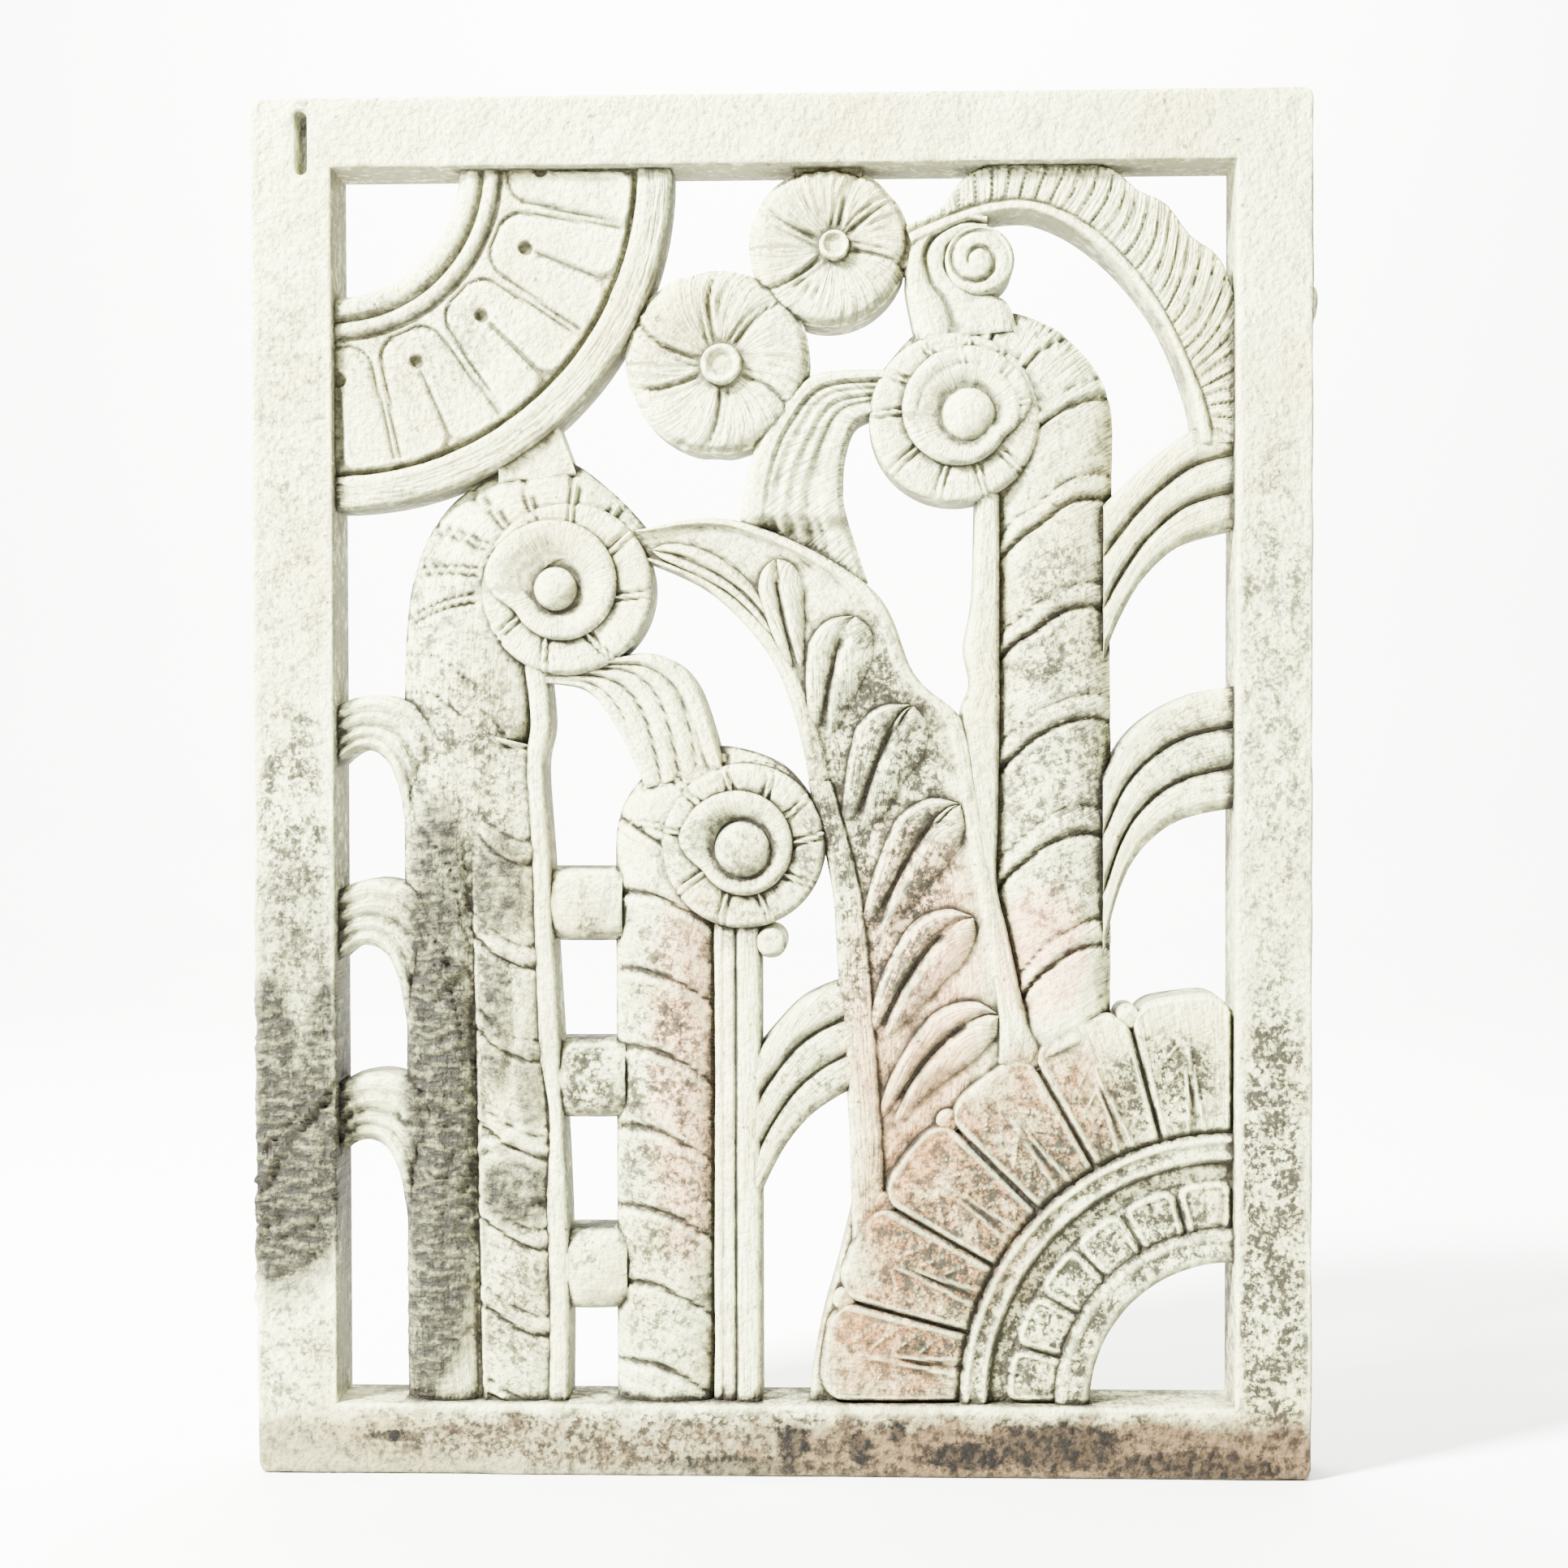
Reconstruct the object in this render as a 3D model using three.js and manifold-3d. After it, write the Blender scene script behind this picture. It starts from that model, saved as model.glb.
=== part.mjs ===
// Openwork panel cast in one piece of concrete: a rectangular frame filled with pierced ornament.
// Millimetres. X runs across the panel, Z up from the underside, and the carved front faces -Y.

import * as THREE from 'three';
import { mergeVertices } from 'three/addons/utils/BufferGeometryUtils.js';
import Module from 'manifold-3d';

const wasm = await Module();
wasm.setup();

// The frame
const WIDTH = 766;
const HEIGHT = 1000;
const DEPTH = 50;
const RAIL = { left: 59.5, right: 55.5, top: 51.5, bottom: 52 };
const ARRIS = 3;
const CORNER = 6;
const SLOT = { x: -345.7, low: 944, high: 990, width: 9.5 };

const INNER = {
  left: RAIL.left - WIDTH / 2,
  right: WIDTH / 2 - RAIL.right,
  top: HEIGHT - RAIL.top,
  bottom: RAIL.bottom,
};
const BACK = DEPTH / 2;
const OVERRUN = 6;
const FINENESS = 0.9;

// Heights of the carving above the back of the panel
const COLUMN = [[0, 28.5], [0.15, 36.5], [0.42, 41.5], [0.72, 40.5], [1, 30]];
const RIBBON = [[0, 38], [0.3, 40], [0.75, 40], [1, 37]];
const ARCH = [[0, 35], [0.08, 39.5], [0.27, 40], [0.33, 36], [0.39, 40], [0.61, 40.5], [0.67, 36],
  [0.73, 40], [0.93, 39], [1, 35]];
const HOOP = [[0, 35], [0.12, 40], [0.4, 40], [0.5, 36.5], [0.6, 40], [0.88, 40], [1, 35]];

// Degrees by which the sun and the fan run on into the rails
const LAP = 3;

// Quarter sun in the upper left corner: stems are cut between the petals, from the eye outwards
const SUN = { centre: [INNER.left, INNER.top], petals: 4, stem: 1.4, cut: 4, rib: 2, ridge: 2, eye: 150 };
const SUN_SECTION = [[91, 40], [96, 43.5], [104, 43], [108, 39], [114, 43.5], [121, 37.5], [128, 41.5],
  [150, 41.5], [215, 41], [220, 37], [225, 43.5], [246, 41]];

// Quarter fan in the lower right corner, with a low ground and small tabs behind its petals
const FAN = { centre: [INNER.right, INNER.bottom], petals: 6, seam: 1, notch: 20, tab: 9 };
const FAN_GROUND = { inner: 255, from: 98, to: 172, rise: 33 };
const FAN_SECTION = [[103, 39], [107, 42], [124, 42], [128, 37], [134, 40], [160, 40], [168, 36],
  [180, 42.5], [193, 42.5], [197, 36.5], [204, 41.5], [270, 43.5], [300, 38]];

// Flowers: seams are the angles between the petals
const FLOWERS = [
  { centre: [-45, 809], radius: 67, button: 15, hub: [-42, 807], seams: [55, 105, 165, 205, 268, 335] },
  { centre: [36, 892], radius: 58, button: 11, hub: [40, 892], seams: [42, 77, 157, 220, 348] },
];
const PETAL = [[0, 41], [0.26, 40], [0.5, 43], [0.85, 43], [1, 36.5]];
const PETAL_SEAM = { width: 14, nip: 0.09, cut: 3.2, from: 0.2 };

// Spiral heads: the outer whorl, the inner whorl that starts at an angle, and the domed boss
const HEADS = [
  { disc: [-155, 645], radius: 63, eye: [-162, 646], start: 54, end: 32, angle: 165, turn: -1,
    boss: [-163, 645], dome: 16 },
  { disc: [127, 767], radius: 62, eye: [132, 771], start: 52, end: 33, angle: 15, turn: 1,
    boss: [137, 769], dome: 20 },
  { disc: [-27, 458], radius: 60, eye: [-29, 456], start: 46, end: 29, angle: 165, turn: -1,
    boss: [-27, 455], dome: 21 },
];
const WHORL_STEP = 0.94;

const toRadians = THREE.MathUtils.degToRad;
const lerp = THREE.MathUtils.lerp;

/** Straight-line graph through a table of [position, value] rows. */
function graph(table) {
  return (x) => {
    const next = table.findIndex(([at]) => at >= x);
    if (next < 0) return table[table.length - 1][1];
    if (next === 0) return table[0][1];
    const [x0, y0] = table[next - 1];
    const [x1, y1] = table[next];
    return lerp(y0, y1, (x - x0) / (x1 - x0));
  };
}

/** The positions of a table, as shares of its whole range. */
function shares(table) {
  const first = table[0][0];
  const range = table[table.length - 1][0] - first;
  return table.map(([at]) => (at - first) / range);
}

/** Equal steps from 0 to 1. */
function steps(count) {
  return Array.from({ length: count + 1 }, (_, i) => i / count);
}

/** Peaked bump: 1 at zero distance, 0 beyond the half width. */
function peak(distance, halfWidth) {
  return Math.max(0, 1 - Math.abs(distance) / halfWidth);
}

/** Smallest turn between two angles in degrees. */
function turnBetween(a, b) {
  return Math.abs(THREE.MathUtils.euclideanModulo(a - b + 180, 360) - 180);
}

/** Smooth curve through points on the face of the panel. */
function curve(...points) {
  return new THREE.SplineCurve(points.map(([x, z]) => new THREE.Vector2(x, z)));
}

/** Arc about a centre; the radius may change with the angle. */
class Arc extends THREE.Curve {
  constructor([x, z], radius, from, to) {
    super();
    Object.assign(this, { x, z, radius, from, to });
  }

  getPoint(t, target = new THREE.Vector2()) {
    const degrees = lerp(this.from, this.to, t);
    const r = typeof this.radius === 'function' ? this.radius(degrees) : this.radius;
    return target.set(this.x + r * Math.cos(toRadians(degrees)), this.z + r * Math.sin(toRadians(degrees)));
  }
}

/** Closed solid from a three.js geometry, faces turned outwards. */
function solid(geometry) {
  geometry.deleteAttribute('normal');
  geometry.deleteAttribute('uv');
  const merged = mergeVertices(geometry, 1e-3);
  const corners = merged.index.array;
  const faces = [];
  for (let i = 0; i < corners.length; i += 3) {
    const [a, b, c] = corners.slice(i, i + 3);
    if (a !== b && b !== c && c !== a) faces.push([a, b, c]);
  }
  const build = (triangles) => new wasm.Manifold(new wasm.Mesh({
    numProp: 3,
    vertProperties: merged.attributes.position.array,
    triVerts: new Uint32Array(triangles.flat()),
  }));
  const made = build(faces);
  return made.volume() > 0 ? made : build(faces.map(([a, b, c]) => [a, c, b]));
}

/** Carved strip between two edge curves, from the back of the panel to a height given along and across. */
function strip({ left, right, along, across, height }) {
  const rows = along.length - 1;
  const columns = across.length - 1;
  const box = new THREE.BoxGeometry(1, 1, 1, rows, columns, 1);
  const place = box.attributes.position;
  for (let i = 0; i < place.count; i += 1) {
    const u = along[Math.round((place.getX(i) + 0.5) * rows)];
    const v = across[Math.round((place.getY(i) + 0.5) * columns)];
    const point = left.getPoint(u).lerp(right.getPoint(u), v);
    const rise = place.getZ(i) > 0 ? height(u, v) : -OVERRUN;
    place.setXYZ(i, point.x, BACK - rise, point.y);
  }
  return solid(box);
}

/** Carved disc: a radius given by the angle, and a height given by the angle and the share of the radius. */
function disc({ centre, radius, spokes, rings, height }) {
  const outline = [[0, 0], [1, 0], ...rings.toReversed().map((share) => [share, 1])];
  const lathe = new THREE.LatheGeometry(outline.map(([r, z]) => new THREE.Vector2(r, z)), spokes.length);
  const place = lathe.attributes.position;
  for (let i = 0; i < place.count; i += 1) {
    const angle = spokes[Math.floor(i / outline.length) % spokes.length];
    const [share, isFront] = outline[i % outline.length];
    const r = share * radius(angle);
    const x = centre[0] + r * Math.cos(toRadians(angle));
    const z = centre[1] + r * Math.sin(toRadians(angle));
    place.setXYZ(i, x, BACK - (isFront ? height(angle, share) : -OVERRUN), z);
  }
  return solid(lathe);
}

/** Plain turned boss standing on the face: a table of radius and height. */
function boss(centre, table, sides = 16) {
  const rings = table.map(([r]) => r / table[table.length - 1][0]);
  const reach = table[table.length - 1][0];
  const rise = graph(table);
  return disc({
    centre,
    radius: () => reach,
    spokes: steps(sides).slice(1).map((share) => share * 360),
    rings,
    height: (_, share) => rise(share * reach),
  });
}

/** The rectangular frame with its hanging slot. */
function frame() {
  const outer = new THREE.Shape();
  const [x, z] = [WIDTH / 2, HEIGHT];
  outer.moveTo(CORNER - x, 0).lineTo(x - CORNER, 0).lineTo(x, CORNER).lineTo(x, z - CORNER);
  outer.lineTo(x - CORNER, z).lineTo(CORNER - x, z).lineTo(-x, z - CORNER).lineTo(-x, CORNER);
  const opening = new THREE.Path();
  opening.moveTo(INNER.left, INNER.bottom).lineTo(INNER.left, INNER.top);
  opening.lineTo(INNER.right, INNER.top).lineTo(INNER.right, INNER.bottom);
  outer.holes.push(opening);
  const bar = new THREE.ExtrudeGeometry(outer, {
    depth: DEPTH - 2 * ARRIS,
    bevelSize: ARRIS,
    bevelThickness: ARRIS,
    bevelOffset: -ARRIS,
    bevelSegments: 1,
  });
  bar.rotateX(Math.PI / 2).translate(0, BACK - ARRIS, 0);
  const end = SLOT.width / 2;
  const slot = new THREE.Shape();
  slot.absarc(SLOT.x, SLOT.high - end, end, 0, Math.PI);
  slot.absarc(SLOT.x, SLOT.low + end, end, Math.PI, 2 * Math.PI);
  const cutter = new THREE.ExtrudeGeometry(slot, { depth: 2 * DEPTH, bevelEnabled: false, curveSegments: 6 });
  cutter.rotateX(Math.PI / 2).translate(0, DEPTH, 0);
  return solid(bar).subtract(solid(cutter));
}

/** Quarter ring of petals between grooved stems, ribbed along their middles. */
function sun() {
  const { centre, petals, stem, cut, rib, ridge, eye } = SUN;
  const span = 90 + 2 * LAP;
  const inner = SUN_SECTION[0][0];
  const outer = SUN_SECTION[SUN_SECTION.length - 1][0];
  const pitch = 90 / petals;
  const angles = [-LAP];
  for (let i = 0; i <= petals; i += 1) {
    angles.push(i * pitch - stem, i * pitch, i * pitch + stem);
    if (i < petals) angles.push((i + 0.5) * pitch - rib, (i + 0.5) * pitch, (i + 0.5) * pitch + rib);
  }
  angles.push(90 + LAP);
  const section = graph(SUN_SECTION);
  const field = graph([[124, 0], [128, 1], [214, 1], [220, 0]]);
  return strip({
    left: new Arc(centre, inner, LAP, -90 - LAP),
    right: new Arc(centre, outer, LAP, -90 - LAP),
    along: angles.map((angle) => (angle + LAP) / span),
    across: shares(SUN_SECTION),
    height: (u, v) => {
      const angle = u * span - LAP;
      const r = lerp(inner, outer, v);
      const toStem = turnBetween(angle, Math.round(angle / pitch) * pitch);
      const groove = r >= eye ? cut * peak(toStem, stem) : 0;
      const middle = (Math.floor(angle / pitch) + 0.5) * pitch;
      return section(r) + field(r) * (ridge * peak(turnBetween(angle, middle), rib) - groove);
    },
  });
}

/** Quarter fan: rings, a row of small petals and a row of long petals with rounded ends. */
function fan() {
  const { centre, petals, seam, notch, tab } = FAN;
  const inner = FAN_SECTION[0][0];
  const outer = FAN_SECTION[FAN_SECTION.length - 1][0];
  const pitch = 90 / petals;
  const span = 90 + 2 * LAP;
  const toSeam = (angle) => turnBetween(angle, Math.round(angle / pitch) * pitch);
  const rounded = (angle) => outer - notch * peak(toSeam(angle), pitch * 0.26) ** 1.6;
  const angles = [90 - LAP];
  for (let i = 0; i <= petals; i += 1) {
    const at = 90 + i * pitch;
    angles.push(at - seam, at, at + seam);
    if (i < petals) angles.push(...[0.25, 0.5, 0.75].map((share) => at + share * pitch));
  }
  angles.push(180 + LAP);
  const section = graph(FAN_SECTION);
  const grooved = graph([[126, 0], [134, 2.5], [160, 2.5], [168, 0], [197, 0], [204, 4], [300, 3]]);
  const vein = graph([[200, 0], [206, 1.6], [262, 0.8], [275, 0]]);
  const plate = strip({
    left: new Arc(centre, inner, 90 - LAP, 180 + LAP),
    right: new Arc(centre, rounded, 90 - LAP, 180 + LAP),
    along: angles.map((angle) => (angle - 90 + LAP) / span),
    across: shares(FAN_SECTION),
    height: (u, v) => {
      const angle = 90 - LAP + u * span;
      const r = lerp(inner, outer, v);
      const groove = grooved(r) * peak(toSeam(angle), seam * 2);
      const midrib = vein(r) * peak(pitch / 2 - toSeam(angle), pitch * 0.15);
      return section(r) - groove - midrib;
    },
  });
  const { inner: low, from, to, rise } = FAN_GROUND;
  const ground = moulding(
    new Arc(centre, low, from, to),
    new Arc(centre, outer - tab, from, to),
    14,
    [[0, rise], [1, rise]],
  );
  const tabs = steps(petals).slice(1, -1).map((share) => {
    const angle = toRadians(90 + share * 90);
    const at = [centre[0] + (outer - tab) * Math.cos(angle), centre[1] + (outer - tab) * Math.sin(angle)];
    return boss(at, [[0, 40], [tab - 3, 39.5], [tab, 36]], 10);
  });
  return [plate, ground, ...tabs];
}

/** Flower with overlapping petals and a dished button. */
function flower({ centre, radius, button, hub, seams }) {
  const spokes = [];
  seams.forEach((seam, i) => {
    const next = i + 1 < seams.length ? seams[i + 1] : seams[0] + 360;
    spokes.push(seam - 5, seam, seam + 5);
    for (const share of [0.35, 0.65]) spokes.push(lerp(seam, next, share));
  });
  const { width, nip, cut, from } = PETAL_SEAM;
  const seamAt = (angle) => Math.max(...seams.map((seam) => peak(turnBetween(angle, seam), width)));
  const section = graph(PETAL);
  const petals = disc({
    centre,
    radius: (angle) => radius * (1 - nip * seamAt(angle)),
    spokes,
    rings: PETAL.map(([share]) => share),
    height: (angle, share) => section(share) - (share > from ? cut : 0) * seamAt(angle),
  });
  const ring = [[0, 43], [button * 0.55, 43.5], [button * 0.72, 47], [button * 0.9, 47], [button, 40]];
  return [petals, boss(hub, ring, 12)];
}

/** Spiral head of a scroll: outer whorl, inner whorl winding in, domed boss. */
function head({ disc: centre, radius, eye, start, end, angle: first, turn, boss: middle, dome }) {
  const whorl = boss(centre, [[0, 42], [radius * 0.5, 42.5], [radius * 0.8, 44.5], [radius * 0.94, 43],
    [radius, 38.5]], 22);
  const winding = (angle) => {
    const share = THREE.MathUtils.euclideanModulo(turn * (angle - first), 360) / 360;
    const stepOut = Math.max(0, (share - WHORL_STEP) / (1 - WHORL_STEP));
    return lerp(start, end, share) + (start - end) * stepOut;
  };
  const coil = disc({
    centre: eye,
    radius: winding,
    spokes: steps(20).slice(1).map((share) => first + turn * share * 360).sort((a, b) => a - b),
    rings: [0, 0.5, 0.85, 1],
    height: (_, share) => graph([[0, 43], [0.5, 44.5], [0.85, 47.5], [1, 43]])(share),
  });
  const cap = steps(3).map((share) => [dome * share, 43 + 7 * Math.sqrt(1 - (share * 0.98) ** 2)]);
  return [whorl, coil, boss(middle, cap, 12)];
}

/** Shaft between two edges: rounded across, with a groove and a raised fillet at every band. */
function shaft(left, right, intervals, bands, section = COLUMN) {
  const across = graph(section);
  const along = [0];
  for (let i = 0; i < intervals; i += 1) {
    const shareOf = (offset) => (i + offset) / intervals;
    if (i > 0) along.push(shareOf(0));
    along.push(...(i < bands ? [0.1, 0.55] : [0.5]).map(shareOf));
  }
  along.push(1);
  const band = graph([[0, -3.2], [0.1, 1.4], [0.55, 0.8], [1, -3.2]]);
  return strip({
    left,
    right,
    along,
    across: section.map(([share]) => share),
    height: (u, v) => {
      const place = u * intervals;
      const lift = place < bands ? band(place % 1) : 0;
      return across(v) + lift;
    },
  });
}

/** Long moulding with the same section from end to end. */
function moulding(left, right, rows, section) {
  const across = graph(section);
  return strip({
    left,
    right,
    along: steps(rows),
    across: section.map(([at]) => at),
    height: (_, v) => across(v),
  });
}

/** Left hoop: springs from the rail, turns over and runs down into the column. */
function hoop(apex, thickness) {
  const low = [[-330, -17], [-314, -3], [-301, 0], [-289, -7], [-281, -25], [-276, -60]];
  const high = [[-330, -9], [-312, 0], [-288, 2], [-262, -9], [-246, -36], [-236, -72]];
  return moulding(
    curve(...low.map(([x, z]) => [x, apex + z])),
    curve(...high.map(([x, z]) => [x, apex + thickness + z])),
    7,
    HOOP,
  );
}

/** Finger of a leaf: a bent tongue with a rounded tip and a grooved middle. */
function finger(base, bend, tip, width) {
  const axis = new THREE.QuadraticBezierCurve(...[base, bend, tip].map(([x, z]) => new THREE.Vector2(x, z)));
  const taper = graph([[0, 0.5], [0.7, 1]]);
  const girth = (u) => taper(u) * Math.sqrt(1 - 0.97 * Math.max(0, (u - 0.7) / 0.3) ** 2);
  const edge = (side) => curve(...steps(10).map((u) => {
    const point = axis.getPoint(u);
    const along = axis.getTangent(u);
    const reach = side * girth(u) * width / 2;
    return [point.x - along.y * reach, point.y + along.x * reach];
  }));
  const section = [[0, 36], [0.12, 41.5], [0.3, 42], [0.42, 38.5], [0.56, 42], [1, 37]];
  const across = graph(section);
  const droop = graph([[0, 2], [0.35, 0], [0.94, 0.4], [1, 2]]);
  return strip({
    left: edge(1),
    right: edge(-1),
    along: [0, 0.35, 0.7, 0.86, 0.95, 1],
    across: section.map(([share]) => share),
    height: (u, v) => across(v) - droop(u),
  });
}

/** Big leaf: ground, stem strip, fingers and the curled upper lobe. */
function leaf() {
  const ground = moulding(
    curve([52, 170], [50, 240], [47, 300], [42, 365], [38, 430], [24, 490], [14, 540], [-2, 586],
      [-26, 619], [-58, 647], [-104, 668]),
    curve([100, 230], [184, 300], [180, 330], [166, 380], [154, 440], [144, 500], [133, 548], [98, 582],
      [66, 645], [-30, 694], [-104, 688]),
    20,
    [[0, 38], [0.12, 36.5], [0.85, 36.5], [0.9, 40], [1, 38.5]],
  );
  const stem = moulding(
    curve([52, 170], [50, 240], [47, 300], [42, 365], [37, 430], [20, 505]),
    curve([78, 170], [75, 240], [71, 300], [66, 365], [58, 430], [38, 505]),
    8,
    RIBBON,
  );
  const lobe = moulding(
    curve([-30, 660], [-28, 700], [-20, 740], [-4, 771], [24, 799], [76, 803]),
    curve([64, 650], [48, 700], [46, 722], [48, 744], [56, 764], [76, 772]),
    10,
    [[0, 38], [0.08, 41], [0.2, 41], [0.27, 38], [0.72, 38.5], [0.79, 41.5], [1, 40]],
  );
  const fingers = [
    finger([8, 594], [-22, 664], [-92, 673], 22),
    finger([16, 582], [6, 628], [-2, 666], 34),
    finger([34, 530], [44, 580], [55, 624], 46),
    finger([58, 462], [78, 510], [97, 559], 48),
    finger([70, 385], [98, 440], [131, 487], 42),
    finger([74, 310], [98, 360], [140, 405], 40),
    finger([80, 246], [108, 302], [158, 334], 38),
  ];
  return [ground, stem, lobe, ...fingers];
}

/** Small leaf on the middle head, fluted lengthwise. */
function smallLeaf() {
  const flutes = [[0, 36], [0.12, 39], [0.25, 36.5], [0.37, 39.5], [0.5, 37], [0.62, 40], [0.77, 37.5],
    [0.84, 41.5], [1, 40]];
  return moulding(
    curve([-172, 577], [-142, 571], [-125, 553], [-112, 530], [-98, 500]),
    curve([-172, 588], [-126, 595], [-88, 597], [-60, 575], [-40, 515]),
    7,
    flutes,
  );
}

/** Feather curving round the upper right corner, with a quill and slanted barbs. */
function feather() {
  const quill = [[0, 38], [0.05, 42.5], [0.16, 42.5], [0.21, 39], [0.4, 41], [1, 38]];
  const across = graph(quill);
  const barbs = 13;
  return strip({
    left: curve([97, 890], [130, 905], [155, 912], [182, 913], [208, 903], [232, 886], [252, 866],
      [270, 842], [282, 820], [291, 797], [298, 774], [302, 748]),
    right: curve([92, 906], [116, 918], [136, 942], [168, 953], [208, 953], [240, 946], [258, 931],
      [279, 920], [296, 898], [320, 876], [336, 815], [336, 748]),
    along: steps(2 * barbs),
    across: quill.map(([share]) => share),
    height: (u, v) => across(v) - (v > 0.25 ? 1.8 : 0) * (Math.round(u * 2 * barbs) % 2),
  });
}

/** Small volute on the right head: a stem that turns over into a coiled eye. */
function volute() {
  const stem = moulding(
    curve([100, 822], [94, 848], [91, 870], [95, 893], [110, 908], [132, 916], [150, 913]),
    curve([172, 830], [163, 852], [140, 858], [122, 872], [122, 888], [132, 897], [150, 898]),
    9,
    [[0, 37], [0.12, 41], [0.32, 42], [0.4, 38.5], [0.48, 42], [1, 40]],
  );
  const eye = disc({
    centre: [142, 881],
    radius: (angle) => 25 + 3 * Math.cos(toRadians(angle + 20)),
    spokes: steps(18).slice(1).map((share) => share * 360),
    rings: [0, 0.3, 0.45, 0.6, 0.85, 1],
    height: (_, share) => graph([[0, 46], [0.3, 45.5], [0.45, 41], [0.6, 44.5], [0.85, 44],
    [1, 38]])(share),
  });
  return [stem, eye];
}

/** Rounded bead that bridges a ribbon and the next column. */
function bead([x, z], width, tall) {
  const crown = [[0, 30], [0.12, 37], [0.3, 40], [0.7, 40], [0.88, 37], [1, 30]];
  const across = graph(crown);
  return strip({
    left: curve([x - width / 2, z - tall / 2], [x - width / 2, z + tall / 2]),
    right: curve([x + width / 2, z - tall / 2], [x + width / 2, z + tall / 2]),
    along: crown.map(([share]) => share),
    across: [0, 0.25, 0.5, 0.75, 1],
    height: (u, v) => across(u) - 3 * (2 * v - 1) ** 2,
  });
}

/** Left scroll: plain flank turning over into the head, banded shaft, wavy ribbon and hoops. */
function leftScroll() {
  const flank = shaft(
    curve([-276, 30], [-276, 130], [-276, 230], [-276, 330], [-277, 430], [-277, 530], [-275, 610],
      [-266, 665], [-241, 708], [-200, 734], [-158, 740], [-122, 716], [-96, 688]),
    curve([-212, 30], [-213, 130], [-215, 230], [-216, 330], [-210, 430], [-182, 530], [-178, 600],
      [-184, 630], [-182, 652], [-170, 662], [-158, 664], [-146, 660], [-136, 650]),
    12,
    0,
  );
  const banded = shaft(
    curve([-218, 30], [-219, 60], [-220, 122], [-221, 187], [-222, 255], [-223, 325], [-225, 393],
      [-228, 470], [-236, 545]),
    curve([-166, 22], [-166, 38], [-165, 99], [-166, 163], [-166, 231], [-171, 301], [-174, 369],
      [-177, 446], [-178, 530]),
    8,
    8,
    [[0, 36], [0.25, 40.5], [0.65, 40.5], [1, 35]],
  );
  const ribbon = moulding(
    curve([-172, 30], [-170, 120], [-172, 190], [-170, 260], [-177, 310], [-180, 380], [-182, 450],
      [-186, 515], [-182, 550], [-188, 600]),
    curve([-156, 30], [-155, 120], [-156, 190], [-159, 260], [-161, 310], [-165, 380], [-168, 450],
      [-172, 515], [-167, 548], [-172, 600]),
    20,
    RIBBON,
  );
  return [flank, banded, ribbon, hoop(528, 38), hoop(385, 46), hoop(242, 47)];
}

/** Middle scroll: banded column turning over into its head, with two strips and a knob. */
function middleScroll() {
  const column = shaft(
    curve([-121, 26], [-121, 80], [-121, 138], [-121, 194], [-121, 251], [-121, 310], [-121, 367],
      [-121, 424], [-118, 480], [-92, 516], [-48, 531], [0, 518], [28, 486]),
    curve([-47, 14], [-47, 52], [-47, 110], [-47, 166], [-47, 223], [-47, 282], [-47, 339], [-48, 396],
      [-56, 440], [-52, 462], [-38, 474], [-22, 474], [-8, 462]),
    12,
    8,
  );
  const fillet = moulding(
    curve([-48, 30], [-48, 410]),
    curve([-32, 30], [-32, 410]),
    1,
    [[0, 38], [0.5, 36.5], [1, 37.5]],
  );
  const band = moulding(curve([-33, 30], [-33, 406]), curve([-14, 30], [-14, 406]), 1, RIBBON);
  return [column, fillet, band, boss([-7, 388], [[0, 43], [8, 42], [12, 38]])];
}

/** Right scroll: twisted column turning over into its head, with a wavy ribbon. */
function rightScroll() {
  const column = shaft(
    curve([170, 290], [170, 342], [156, 425], [154, 510], [155, 590], [155, 662], [156, 730], [150, 766],
      [142, 782], [130, 786], [118, 780], [112, 768]),
    curve([240, 310], [240, 384], [240, 466], [240, 546], [240, 627], [241, 708], [238, 783], [208, 826],
      [168, 845], [128, 845], [96, 828], [72, 800]),
    11,
    11,
  );
  const ribbon = moulding(
    curve([157, 300], [157, 330], [150, 390], [143, 430], [140, 480], [131, 548], [138, 575], [134, 602],
      [140, 640], [142, 715]),
    curve([178, 300], [178, 330], [166, 390], [157, 430], [158, 480], [159, 548], [159, 575], [159, 602],
      [159, 640], [159, 715]),
    18,
    RIBBON,
  );
  return [column, ribbon];
}

/** Ridged arches: two from the right column to the rail and one across the middle. */
function arches() {
  return [
    moulding(
      curve([234, 592], [246, 622], [264, 652], [292, 676], [334, 688]),
      curve([234, 704], [252, 722], [275, 742], [302, 760], [334, 768]),
      6,
      ARCH,
    ),
    moulding(
      curve([234, 380], [246, 425], [262, 455], [290, 476], [334, 486]),
      curve([234, 508], [250, 536], [272, 555], [300, 568], [334, 574]),
      6,
      ARCH,
    ),
    moulding(
      curve([-18, 196], [-4, 226], [10, 248], [28, 266], [54, 282]),
      curve([-18, 309], [-2, 328], [14, 344], [30, 353], [50, 360]),
      6,
      ARCH,
    ),
  ];
}

/** Low webs that tie neighbouring ornaments together. */
function webs() {
  const web = (low, high, rise) => moulding(curve(...low), curve(...high), 4, [[0, rise], [1, rise]]);
  return [
    web([[-205, 722], [-148, 728]], [[-205, 752], [-162, 766]], 33),
    web(
      [[52, 194], [40, 146], [30, 110], [22, 66], [20, 40]],
      [[110, 194], [104, 146], [100, 110], [94, 66], [92, 40]],
      33,
    ),
    web([[-6, 836], [14, 846]], [[-14, 872], [20, 884]], 35),
    web([[12, 930], [60, 930]], [[12, 954], [60, 954]], 37),
    web([[84, 876], [100, 876]], [[80, 906], [104, 908]], 37),
  ];
}

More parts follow.
